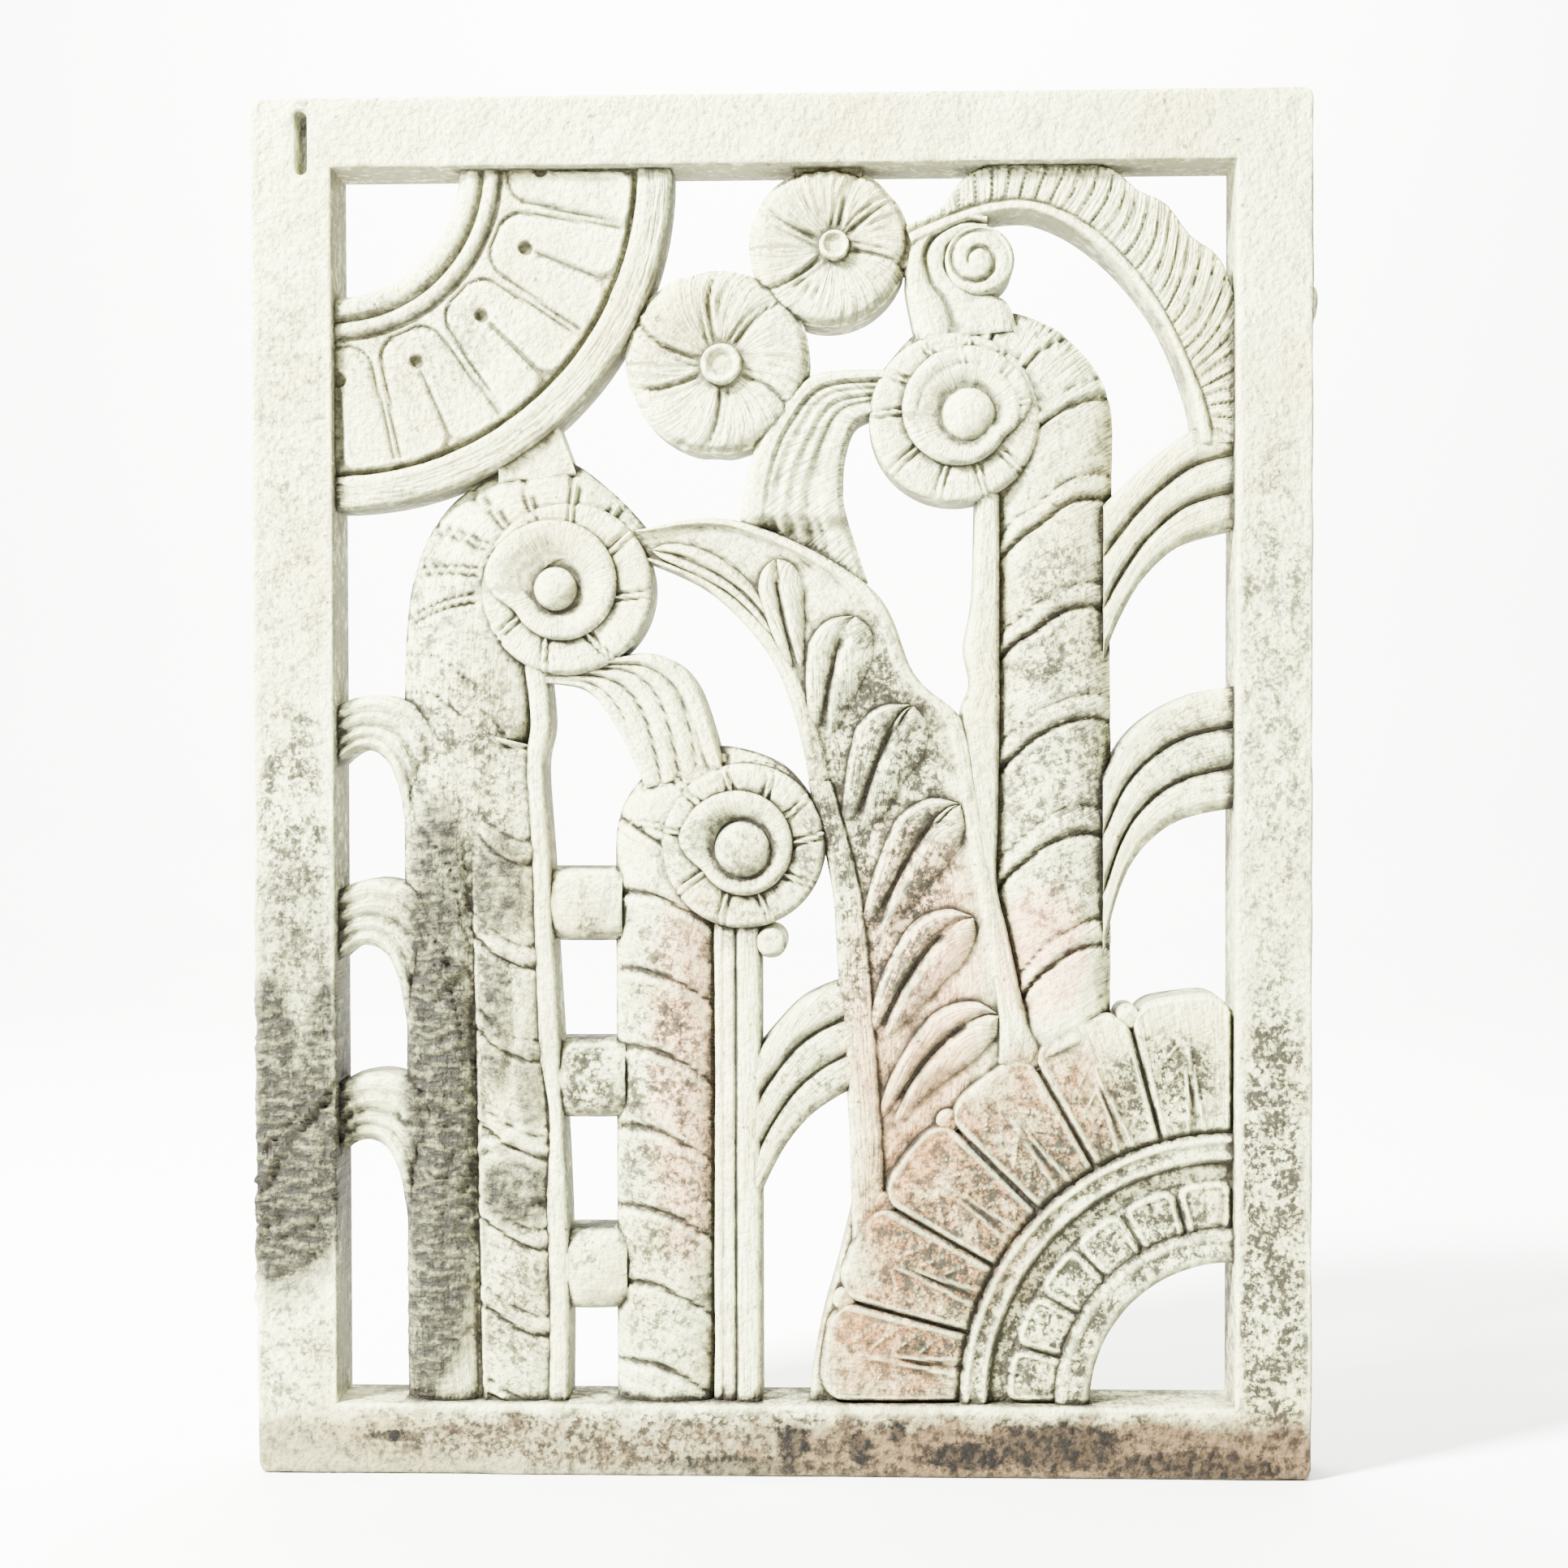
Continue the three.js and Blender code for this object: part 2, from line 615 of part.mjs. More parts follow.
/** The whole casting joined into one body. */
function castPanel() {
  const ornament = [
    sun(),
    ...fan(),
    ...FLOWERS.flatMap(flower),
    ...HEADS.flatMap(head),
    ...leftScroll(),
    ...middleScroll(),
    ...rightScroll(),
    ...arches(),
    ...leaf(),
    smallLeaf(),
    feather(),
    ...volute(),
    ...webs(),
    bead([-143, 415], 54, 54),
    bead([-140, 287], 52, 58),
    bead([-138, 147], 50, 60),
  ];
  const joined = ornament.reduce((whole, piece) => whole.add(piece), frame());
  const behind = new THREE.BoxGeometry(2 * WIDTH, DEPTH, 3 * HEIGHT).translate(0, BACK + DEPTH / 2, 0);
  const trimmed = joined.subtract(solid(behind)).simplify(FINENESS);
  const [body] = trimmed.decompose().sort((a, b) => b.volume() - a.volume());
  const { vertProperties, triVerts } = body.getMesh();
  const geometry = new THREE.BufferGeometry();
  geometry.setAttribute('position', new THREE.BufferAttribute(new Float32Array(vertProperties), 3));
  geometry.setIndex(new THREE.BufferAttribute(new Uint32Array(triVerts), 1));
  geometry.computeVertexNormals();
  return geometry;
}

const concrete = new THREE.MeshStandardMaterial({ color: 0xcfcdbd, roughness: 0.95, metalness: 0 });
const panel = new THREE.Mesh(castPanel(), concrete);
panel.name = 'cast_panel';

const group = new THREE.Group();
group.name = 'openwork_panel';
group.add(panel);

export default group;
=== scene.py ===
"""Openwork panel cast in one piece of concrete, weathered, standing in a plain studio.

Sizes are in millimetres on the face of the panel: x runs across it, z up from the underside, and a
rise is measured from the flat back towards the carved front, which faces -Y.
"""

import logging
import math
from collections.abc import Callable, Sequence
from dataclasses import dataclass, field
from enum import Enum

import bpy
import numpy as np
from mathutils import Matrix

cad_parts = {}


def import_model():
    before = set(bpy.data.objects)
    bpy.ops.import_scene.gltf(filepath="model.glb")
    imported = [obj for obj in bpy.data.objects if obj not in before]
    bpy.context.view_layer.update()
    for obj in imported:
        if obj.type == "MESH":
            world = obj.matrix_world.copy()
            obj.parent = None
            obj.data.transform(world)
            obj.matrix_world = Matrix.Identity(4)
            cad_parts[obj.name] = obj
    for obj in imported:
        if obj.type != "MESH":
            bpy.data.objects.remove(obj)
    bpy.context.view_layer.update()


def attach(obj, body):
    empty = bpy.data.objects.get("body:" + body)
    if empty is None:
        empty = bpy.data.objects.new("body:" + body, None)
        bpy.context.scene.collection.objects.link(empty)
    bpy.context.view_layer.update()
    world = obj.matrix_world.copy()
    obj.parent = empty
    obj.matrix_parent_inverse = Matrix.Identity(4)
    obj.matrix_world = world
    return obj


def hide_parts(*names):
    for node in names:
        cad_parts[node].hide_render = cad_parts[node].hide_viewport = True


log = logging.getLogger("panel")

MM = 0.001
WIDTH, HEIGHT, DEPTH = 766.0, 1000.0, 50.0
BACK = DEPTH / 2
OVERRUN = 6.0
INNER_LEFT, INNER_RIGHT, INNER_TOP, INNER_BOTTOM = -323.5, 327.5, 948.5, 52.0

Point = tuple[float, float]
Table = Sequence[tuple[float, float]]
Area = tuple[float, float, float, float, float]


class Join(Enum):
    """The ways one solid is worked into another."""

    UNION = "UNION"
    DIFFERENCE = "DIFFERENCE"


def soft(share: np.ndarray) -> np.ndarray:
    """Eases a share from 0 to 1."""
    clipped = np.clip(share, 0.0, 1.0)
    return clipped * clipped * (3.0 - 2.0 * clipped)


def ridge(distance: np.ndarray, half: float) -> np.ndarray:
    """Rounded hump: 1 on the line, 0 beyond the half width."""
    return (1.0 - np.clip(np.abs(distance) / half, 0.0, 1.0) ** 2) ** 2


def rounding(distance: np.ndarray, radius: float) -> np.ndarray:
    """Drop of a rounded edge at a distance inside it."""
    return radius - np.sqrt(radius**2 - np.clip(radius - distance, 0.0, radius) ** 2)


def turn_between(first: np.ndarray, second: float) -> np.ndarray:
    """Signed turn in degrees from the second angle to the first."""
    return (first - second + 180.0) % 360.0 - 180.0


def grain(x: np.ndarray, z: np.ndarray, size: float, seed: float = 0.0) -> np.ndarray:
    """Smooth unevenness between -1 and 1.

    Args:
        x: Places across, in mm.
        z: Places up, in mm.
        size: Distance between humps, in mm.
        seed: Picks another pattern.

    Returns:
        One value per place.
    """
    cell_x, cell_z = np.floor(x / size), np.floor(z / size)
    ease_x, ease_z = soft(x / size - cell_x), soft(z / size - cell_z)

    def corner(step_x: float, step_z: float) -> np.ndarray:
        """Fixed value of one lattice corner."""
        mixed = np.sin((cell_x + step_x) * 127.1 + (cell_z + step_z) * 311.7 + seed * 74.7) * 43758.5453
        return 2.0 * (mixed - np.floor(mixed)) - 1.0

    low = corner(0, 0) + (corner(1, 0) - corner(0, 0)) * ease_x
    high = corner(0, 1) + (corner(1, 1) - corner(0, 1)) * ease_x
    return low + (high - low) * ease_z


def profile(table: Table) -> Callable[[np.ndarray], np.ndarray]:
    """Smooth graph through rows of place and value that never overshoots them.

    Args:
        table: Rows of place and value, in rising order of place.

    Returns:
        Function that gives the value at each place.
    """
    at, value = (np.array(column, dtype=float) for column in zip(*table))
    gaps, climbs = np.diff(at), np.diff(value)
    slopes = climbs / gaps
    tangents = np.zeros(len(at))
    same_way = slopes[:-1] * slopes[1:] > 0
    pair = slopes[:-1] + slopes[1:]
    tangents[1:-1][same_way] = (2 * slopes[:-1] * slopes[1:])[same_way] / pair[same_way]

    def value_at(place: np.ndarray) -> np.ndarray:
        """Value of the graph at each place."""
        held = np.clip(place, at[0], at[-1])
        index = np.clip(np.searchsorted(at, held, side="right") - 1, 0, len(gaps) - 1)
        t = (held - at[index]) / gaps[index]
        rise = soft(t) * climbs[index]
        lead = t * (1 - t) ** 2 * gaps[index] * tangents[index]
        trail = t**2 * (1 - t) * gaps[index] * tangents[index + 1]
        return value[index] + rise + lead - trail

    return value_at


@dataclass(frozen=True)
class Edge:
    """Edge of a carved strip, drawn smoothly through points on the face."""

    points: Sequence[Point]

    def at(self, share: np.ndarray) -> np.ndarray:
        """Points of the edge.

        Args:
            share: Places along the edge, 0 to 1.

        Returns:
            One row of x and z per place.
        """
        knots = np.array(self.points, dtype=float)
        last = len(knots) - 1
        index = np.minimum((share * last).astype(int), last - 1)
        t = (share * last - index)[:, None]
        before, start = knots[np.maximum(index - 1, 0)], knots[index]
        end, after = knots[index + 1], knots[np.minimum(index + 2, last)]
        lead, trail = (end - before) / 2, (after - start) / 2
        return ((2 * (start - end) + lead + trail) * t**3
                + (3 * (end - start) - 2 * lead - trail) * t**2 + lead * t + start)


@dataclass(frozen=True)
class Line:
    """Edge that runs straight from point to point."""

    points: Sequence[Point]

    def at(self, share: np.ndarray) -> np.ndarray:
        """Points of the edge.

        Args:
            share: Places along the edge, 0 to 1.

        Returns:
            One row of x and z per place.
        """
        x, z = np.array(self.points, dtype=float).T
        knots = np.linspace(0.0, 1.0, len(x))
        return np.column_stack([np.interp(share, knots, x), np.interp(share, knots, z)])


@dataclass(frozen=True)
class Arc:
    """Edge that follows an arc; the radius may change with the angle in degrees."""

    centre: Point
    radius: float | Callable[[np.ndarray], np.ndarray]
    start: float
    end: float

    def at(self, share: np.ndarray) -> np.ndarray:
        """Points of the arc.

        Args:
            share: Places along the arc, 0 to 1.

        Returns:
            One row of x and z per place.
        """
        degrees = self.start + (self.end - self.start) * share
        reach = self.radius(degrees) if callable(self.radius) else self.radius
        turn = np.radians(degrees)
        return np.column_stack([self.centre[0] + reach * np.cos(turn), self.centre[1] + reach * np.sin(turn)])


@dataclass(frozen=True)
class Face:
    """Places on a carved face: shares u along and v across, x and z, and distances in mm."""

    u: np.ndarray
    v: np.ndarray
    x: np.ndarray
    z: np.ndarray
    along: np.ndarray
    across: np.ndarray
    width: np.ndarray

    def polar(self, centre: Point) -> tuple[np.ndarray, np.ndarray]:
        """Distance in mm and angle in degrees of every place about a centre."""
        aside, above = self.x - centre[0], self.z - centre[1]
        return np.hypot(aside, above), np.degrees(np.arctan2(above, aside))

    def to_edge(self) -> np.ndarray:
        """Distance to the nearer edge."""
        return np.minimum(self.across, self.width - self.across)


Rise = Callable[[Face], np.ndarray]
Combing = Callable[[Face], tuple[np.ndarray, np.ndarray, np.ndarray]]


def uncombed(face: Face) -> tuple[np.ndarray, np.ndarray, np.ndarray]:
    """Strokes of a face that was trowelled smooth."""
    return face.across, face.along, np.full_like(face.u, 0.1)


def combed_across(strength: float) -> Combing:
    """Strokes that run from edge to edge."""
    return lambda face: (face.along, face.across, np.full_like(face.u, strength))


def combed_along(strength: float) -> Combing:
    """Strokes that run lengthwise."""
    return lambda face: (face.across, face.along, np.full_like(face.u, strength))


def select_only(piece: bpy.types.Object) -> None:
    """Deselects everything else and makes one object active."""
    bpy.ops.object.select_all(action="DESELECT")
    piece.select_set(True)
    bpy.context.view_layer.objects.active = piece


def places_of(piece: bpy.types.Object) -> np.ndarray:
    """Reads the vertex places of a mesh, one row each."""
    flat = np.empty(3 * len(piece.data.vertices), dtype=np.float32)
    piece.data.vertices.foreach_get("co", flat)
    return flat.reshape(-1, 3).astype(float)


def set_places(piece: bpy.types.Object, places: np.ndarray) -> None:
    """Moves the vertices of a mesh."""
    piece.data.vertices.foreach_set("co", places.astype(np.float32).ravel())
    piece.data.update()


def blank_sheet(name: str, rows: int, columns: int) -> bpy.types.Object:
    """Adds a flat sheet of one unit, ready to be carved.

    Args:
        name: Name of the piece.
        rows: Cells along.
        columns: Cells across.

    Returns:
        The new object.
    """
    bpy.ops.object.select_all(action="DESELECT")
    bpy.ops.mesh.primitive_grid_add(x_subdivisions=rows, y_subdivisions=columns, size=1.0)
    sheet = bpy.context.active_object
    sheet.name = name
    return sheet


def thicken(sheet: bpy.types.Object) -> bpy.types.Object:
    """Extrudes a carved sheet past the back of the panel into a closed solid.

    Args:
        sheet: Carved front.

    Returns:
        The same object.
    """
    select_only(sheet)
    bpy.ops.object.mode_set(mode="EDIT")
    bpy.ops.mesh.select_all(action="SELECT")
    bpy.ops.mesh.remove_doubles(threshold=1e-5)
    bpy.ops.mesh.extrude_region_move(TRANSFORM_OT_translate={"value": (0, DEPTH * MM, 0)})
    bpy.ops.transform.resize(value=(1, 0, 1), center_override=(0, (BACK + OVERRUN) * MM, 0))
    bpy.ops.mesh.select_all(action="SELECT")
    bpy.ops.mesh.normals_make_consistent(inside=False)
    bpy.ops.object.mode_set(mode="OBJECT")
    return sheet


def carve(sheet: bpy.types.Object, face: Face, rise: Rise, combing: Combing) -> bpy.types.Object:
    """Gives a blank sheet its carved places and the direction of its tool strokes.

    Args:
        sheet: Blank sheet with one vertex per place of the face.
        face: The places.
        rise: Height of the carving above the back.
        combing: Place across and along the strokes, and their strength.

    Returns:
        The closed solid.
    """
    set_places(sheet, np.column_stack([face.x, BACK - rise(face), face.z]) * MM)
    strokes = sheet.data.attributes.new("combing", "FLOAT_VECTOR", "POINT")
    strokes.data.foreach_set("vector", np.column_stack(combing(face)).astype(np.float32).ravel())
    return thicken(sheet)


@dataclass(frozen=True)
class Strip:
    """Carved strip between two edges."""

    name: str
    left: Edge | Line | Arc
    right: Edge | Line | Arc
    rise: Rise
    combing: Combing = uncombed
    step_along: float = 3.4
    step_across: float = 2.4
    crowding: float = 0.45

    def build(self) -> bpy.types.Object:
        """Models the strip.

        Returns:
            A closed solid that runs past the back of the panel.
        """
        knots = np.linspace(0.0, 1.0, 301)
        ends = self.left.at(knots), self.right.at(knots)
        run = np.concatenate([[0.0], np.cumsum(np.linalg.norm(np.diff((ends[0] + ends[1]) / 2, axis=0), axis=1))])
        widest = np.linalg.norm(ends[1] - ends[0], axis=1).max()
        rows = max(4, math.ceil(run[-1] / self.step_along))
        columns = max(4, math.ceil(widest / self.step_across))
        sheet = blank_sheet(self.name, rows, columns)
        shares = np.clip(places_of(sheet)[:, :2] + 0.5, 0.0, 1.0)
        u = np.interp(shares[:, 0], run / run[-1], knots)
        v = shares[:, 1] - self.crowding * np.sin(2 * np.pi * shares[:, 1]) / (2 * np.pi)
        first, second = self.left.at(u), self.right.at(u)
        width = np.linalg.norm(second - first, axis=1)
        x, z = (first + (second - first) * v[:, None]).T
        face = Face(u, v, x, z, shares[:, 0] * run[-1], v * width, width)
        return carve(sheet, face, self.rise, self.combing)


@dataclass(frozen=True)
class Disc:
    """Carved disc about a centre, or a ring where it has a core."""

    name: str
    centre: Point
    radius: Callable[[np.ndarray], np.ndarray]
    rise: Rise
    combing: Combing = uncombed
    spokes: int = 120
    rings: int = 24
    core: float = 0.0

    def build(self) -> bpy.types.Object:
        """Models the disc.

        Returns:
            A closed solid that runs past the back of the panel.
        """
        sheet = blank_sheet(self.name, self.spokes, self.rings)
        shares = np.clip(places_of(sheet)[:, :2] + 0.5, 0.0, 1.0)
        degrees = shares[:, 0] * 360.0
        share = self.core + (1.0 - self.core) * np.sin(shares[:, 1] * np.pi / 2) ** 0.9
        reach = self.radius(degrees)
        turn = np.radians(np.where(shares[:, 0] > 1.0 - 1e-6, 0.0, degrees))
        x = self.centre[0] + share * reach * np.cos(turn)
        z = self.centre[1] + share * reach * np.sin(turn)
        face = Face(degrees / 360.0, share, x, z, degrees * np.pi / 180 * reach, share * reach, reach)
        return carve(sheet, face, self.rise, self.combing)


def work_in(base: bpy.types.Object, tools: Sequence[bpy.types.Object], way: Join) -> None:
    """Joins solids to another or cuts them away, and removes them.

    Args:
        base: Solid that is kept.
        tools: Solids that are joined or cut away.
        way: Union or difference.
    """
    tray = bpy.data.collections.new("tray")
    bpy.context.scene.collection.children.link(tray)
    for tool in tools:
        for home in list(tool.users_collection):
            home.objects.unlink(tool)
        tray.objects.link(tool)
    select_only(base)
    step = base.modifiers.new("work", "BOOLEAN")
    step.operation = way.value
    step.solver = "MANIFOLD"
    step.operand_type = "COLLECTION"
    step.collection = tray
    bpy.ops.object.modifier_apply(modifier=step.name)
    for tool in tools:
        bpy.data.objects.remove(tool, do_unlink=True)
    bpy.data.collections.remove(tray)


def rib_cuts(face: Face, hub: Point, angles: Sequence[float], reach: Point, gap: float = 5.0) -> np.ndarray:
    """Pairs of cut lines that run out from a hub.

    Args:
        face: Places on the face.
        hub: Middle of the spokes.
        angles: Angle of every pair, in degrees.
        reach: First and last distance from the hub.
        gap: Distance between the two lines.

    Returns:
        Share of the full depth at each place.
    """
    cut = np.zeros_like(face.x)
    for angle in np.radians(angles):
        ahead = (face.x - hub[0]) * np.cos(angle) + (face.z - hub[1]) * np.sin(angle)
        aside = (face.z - hub[1]) * np.cos(angle) - (face.x - hub[0]) * np.sin(angle)
        aside = aside - 0.004 * (ahead - reach[0]) ** 2
        within = soft((ahead - reach[0]) / 4.0) * soft((reach[1] - ahead) / 4.0)
        lines = ridge(aside - gap / 2, 2.5) + ridge(aside + gap / 2, 2.5) - 0.5 * ridge(aside, 1.8)
        cut = np.where(np.abs(lines * within) > np.abs(cut), lines * within, cut)
    return cut


@dataclass(frozen=True)
class Frame:
    """Rectangular frame with its hanging slot and the lumps on its edges."""

    left: float = 59.5
    right: float = 55.5
    top: float = 51.5
    bottom: float = 52.0
    arris: float = 3.0
    corner: float = 7.0
    slot_x: float = -345.7
    slot_low: float = 944.0
    slot_high: float = 990.0
    slot_width: float = 9.5
    lumps: Sequence[tuple[float, float, float, float]] = (
        (383.5, 848.0, 5.5, 14.0), (382.0, 838.0, 4.0, 7.0), (-383.0, 160.0, 5.5, 20.0),
        (-383.5, 128.0, 5.0, 12.0), (-383.0, 192.0, 4.5, 16.0), (-382.5, 141.0, 6.0, 8.0))

    def rail(self, name: str, first: Sequence[Point], second: Sequence[Point], step: float = 4.2) -> bpy.types.Object:
        """Models one rail between its two long edges, divided by about the given step."""

        def rise(face: Face) -> np.ndarray:
            """Flat face with rounded arrises, worn unevenly."""
            worn = self.arris + 1.2 * grain(face.x, face.z, 17.0, 3.0)
            ends = np.minimum(face.along, face.along.max() - face.along)
            edge = np.minimum(face.to_edge(), ends)
            drop = rounding(edge * self.arris / worn, self.arris)
            scored = 0.5 * ridge(face.to_edge() - 9.0 - 0.8 * grain(face.x, face.z, 23.0, 5.0), 1.6)
            return DEPTH - drop - scored

        return Strip(name, Line(first), Line(second), rise, step_along=step, step_across=0.8 * step,
                     crowding=0.75).build()

    def slot(self) -> bpy.types.Object:
        """Models the cutter of the hanging slot: a round bar drawn out lengthwise."""
        end = self.slot_width / 2
        bpy.ops.object.select_all(action="DESELECT")
        bpy.ops.mesh.primitive_cylinder_add(
            vertices=24, radius=end * MM, depth=3 * DEPTH * MM, rotation=(math.pi / 2, 0, 0),
            location=(self.slot_x * MM, 0, (self.slot_low + end) * MM))
        cutter = bpy.context.active_object
        bpy.ops.object.transform_apply(location=True, rotation=True, scale=True)
        bpy.ops.object.mode_set(mode="EDIT")
        bpy.ops.mesh.select_all(action="DESELECT")
        bpy.ops.object.mode_set(mode="OBJECT")
        for vertex in cutter.data.vertices:
            vertex.select = vertex.co.z > (self.slot_low + end - 0.1) * MM
        bpy.ops.object.mode_set(mode="EDIT")
        bpy.ops.transform.translate(value=(0, 0, (self.slot_high - self.slot_low - self.slot_width) * MM))
        bpy.ops.object.mode_set(mode="OBJECT")
        return cutter

    def lump(self, x: float, z: float, wide: float, tall: float) -> bpy.types.Object:
        """Models a lump of mortar on the edge of a rail: a ball pressed flat and dented."""
        bpy.ops.object.select_all(action="DESELECT")
        bpy.ops.mesh.primitive_ico_sphere_add(subdivisions=4, radius=MM, location=(x * MM, -4 * MM, z * MM))
        ball = bpy.context.active_object
        bpy.ops.object.mode_set(mode="EDIT")
        bpy.ops.transform.resize(value=(wide, 17.0, tall))
        bpy.ops.object.mode_set(mode="OBJECT")
        bpy.ops.object.transform_apply(location=True, rotation=True, scale=True)
        places = places_of(ball)
        middle = np.array([x, -4.0, z]) * MM
        dent = 1.0 + 0.16 * grain(places[:, 1] / MM, places[:, 2] / MM, 7.0, x)
        set_places(ball, middle + (places - middle) * dent[:, None])
        return ball

    def build(self) -> bpy.types.Object:
        """Models the frame as one solid.

        Returns:
            The four rails joined, with the slot cut and the lumps added.
        """
        half, cut = WIDTH / 2, self.corner
        up = [0.0, 0.3 * cut, cut, HEIGHT - cut, HEIGHT - 0.3 * cut, HEIGHT]
        pull = [cut, 0.3 * cut, 0.0, 0.0, 0.3 * cut, cut]
        outer_left = [(in_ - half, z) for z, in_ in zip(up, pull)]
        outer_right = [(half - in_, z) for z, in_ in zip(up, pull)]
        bar = self.rail("frame", outer_left, [(self.left - half, z) for z in up], 2.5)
        others = [
            self.rail("rail_right", [(half - self.right, z) for z in up], outer_right),
            self.rail("rail_top", [(x, HEIGHT) for x in (22 - half, 0, half - 22)],
                      [(x, HEIGHT - self.top) for x in (22 - half, 0, half - 22)]),
            self.rail("rail_bottom", [(x, self.bottom) for x in (22 - half, 0, half - 22)],
                      [(x, 0.0) for x in (22 - half, 0, half - 22)]),
        ]
        work_in(bar, others + [self.lump(*lump) for lump in self.lumps], Join.UNION)
        work_in(bar, [self.slot()], Join.DIFFERENCE)
        return bar


@dataclass(frozen=True)
class Sun:
    """Quarter sun in the upper left corner: beads, tongues between drilled stems, and a combed rim."""

    centre: Point = (INNER_LEFT, INNER_TOP)
    pitch: float = 22.2
    eye: float = 151.0
    tongue_in: float = 127.0
    petal_out: float = 218.5
    section: Table = ((91, 37), (93, 41.5), (96, 43), (101, 44.4), (106, 42.8), (108.3, 39.2), (110.5, 42.6),
                      (114.5, 44.2), (119, 42.6), (121.5, 38.6), (124.5, 40.6), (130, 41.2), (216, 41.2),
                      (219.5, 38.4), (222.5, 42.8), (226, 43.4), (229, 42.6), (243, 42.2), (246, 38.5))

    def rise(self, face: Face) -> np.ndarray:
        """Height of the carving.

        Args:
            face: Places on the face.

        Returns:
            Rise above the back at each place.
        """
        r, degrees = face.polar(self.centre)
        below = -degrees
        rise = profile(self.section)(r) + 0.35 * grain(face.x, face.z, 14.0, 2.0)
        to_stem = turn_between(below, 0.0) - self.pitch * np.round(below / self.pitch)
        aside = np.radians(to_stem) * r
        half = r * math.sin(math.radians(self.pitch / 2))
        in_field = soft((r - 123.0) / 4.0) * soft((221.0 - r) / 3.0)

        gap = np.interp(r, (125.0, 150.0, 190.0, 218.0), (4.6, 3.4, 2.0, 1.4))
        corner = 15.0
        over = np.abs(aside) - (half - gap) + corner
        under = self.tongue_in - r + corner
        outline = np.hypot(np.maximum(over, 0), np.maximum(under, 0)) + np.minimum(np.maximum(over, under), 0) - corner
        rise = rise - in_field * 2.3 * ridge(outline, 2.4) + in_field * 1.3 * soft(-outline / 7.0)

        to_rib = half - np.abs(aside)
        bend = 13.0
        flank = to_rib - (half - 1.2) + bend
        reach = r - self.petal_out + bend
        petal = np.hypot(np.maximum(flank, 0), np.maximum(reach, 0)) + np.minimum(np.maximum(flank, reach), 0) - bend
        outside = soft((petal + 1.6) / 2.2) * soft((r - 156.0) / 4.0) * soft((222.0 - r) / 2.5)
        rise = rise - 2.4 * outside + 0.9 * ridge(petal + 3.6, 3.0) * soft((r - 160.0) / 10.0) * in_field
        hollow = np.hypot(aside, r - self.eye)
        return rise - 4.2 * soft((6.4 - hollow) / 3.2)

    def combing(self, face: Face) -> tuple[np.ndarray, np.ndarray, np.ndarray]:
        """Strokes run round the rim, and lightly outwards in the field."""
        r, degrees = face.polar(self.centre)
        return r, np.radians(degrees) * r, 0.12 + 1.1 * soft((r - 226.0) / 2.0)

    def build(self) -> list[bpy.types.Object]:
        """Models the sun as one strip from the inner to the outer arc."""
        ends = (3.0, -93.0)
        return [Strip("sun", Arc(self.centre, 91.0, *ends), Arc(self.centre, 246.0, *ends), self.rise, self.combing,
                      step_along=1.95, step_across=2.0, crowding=0.0).build()]


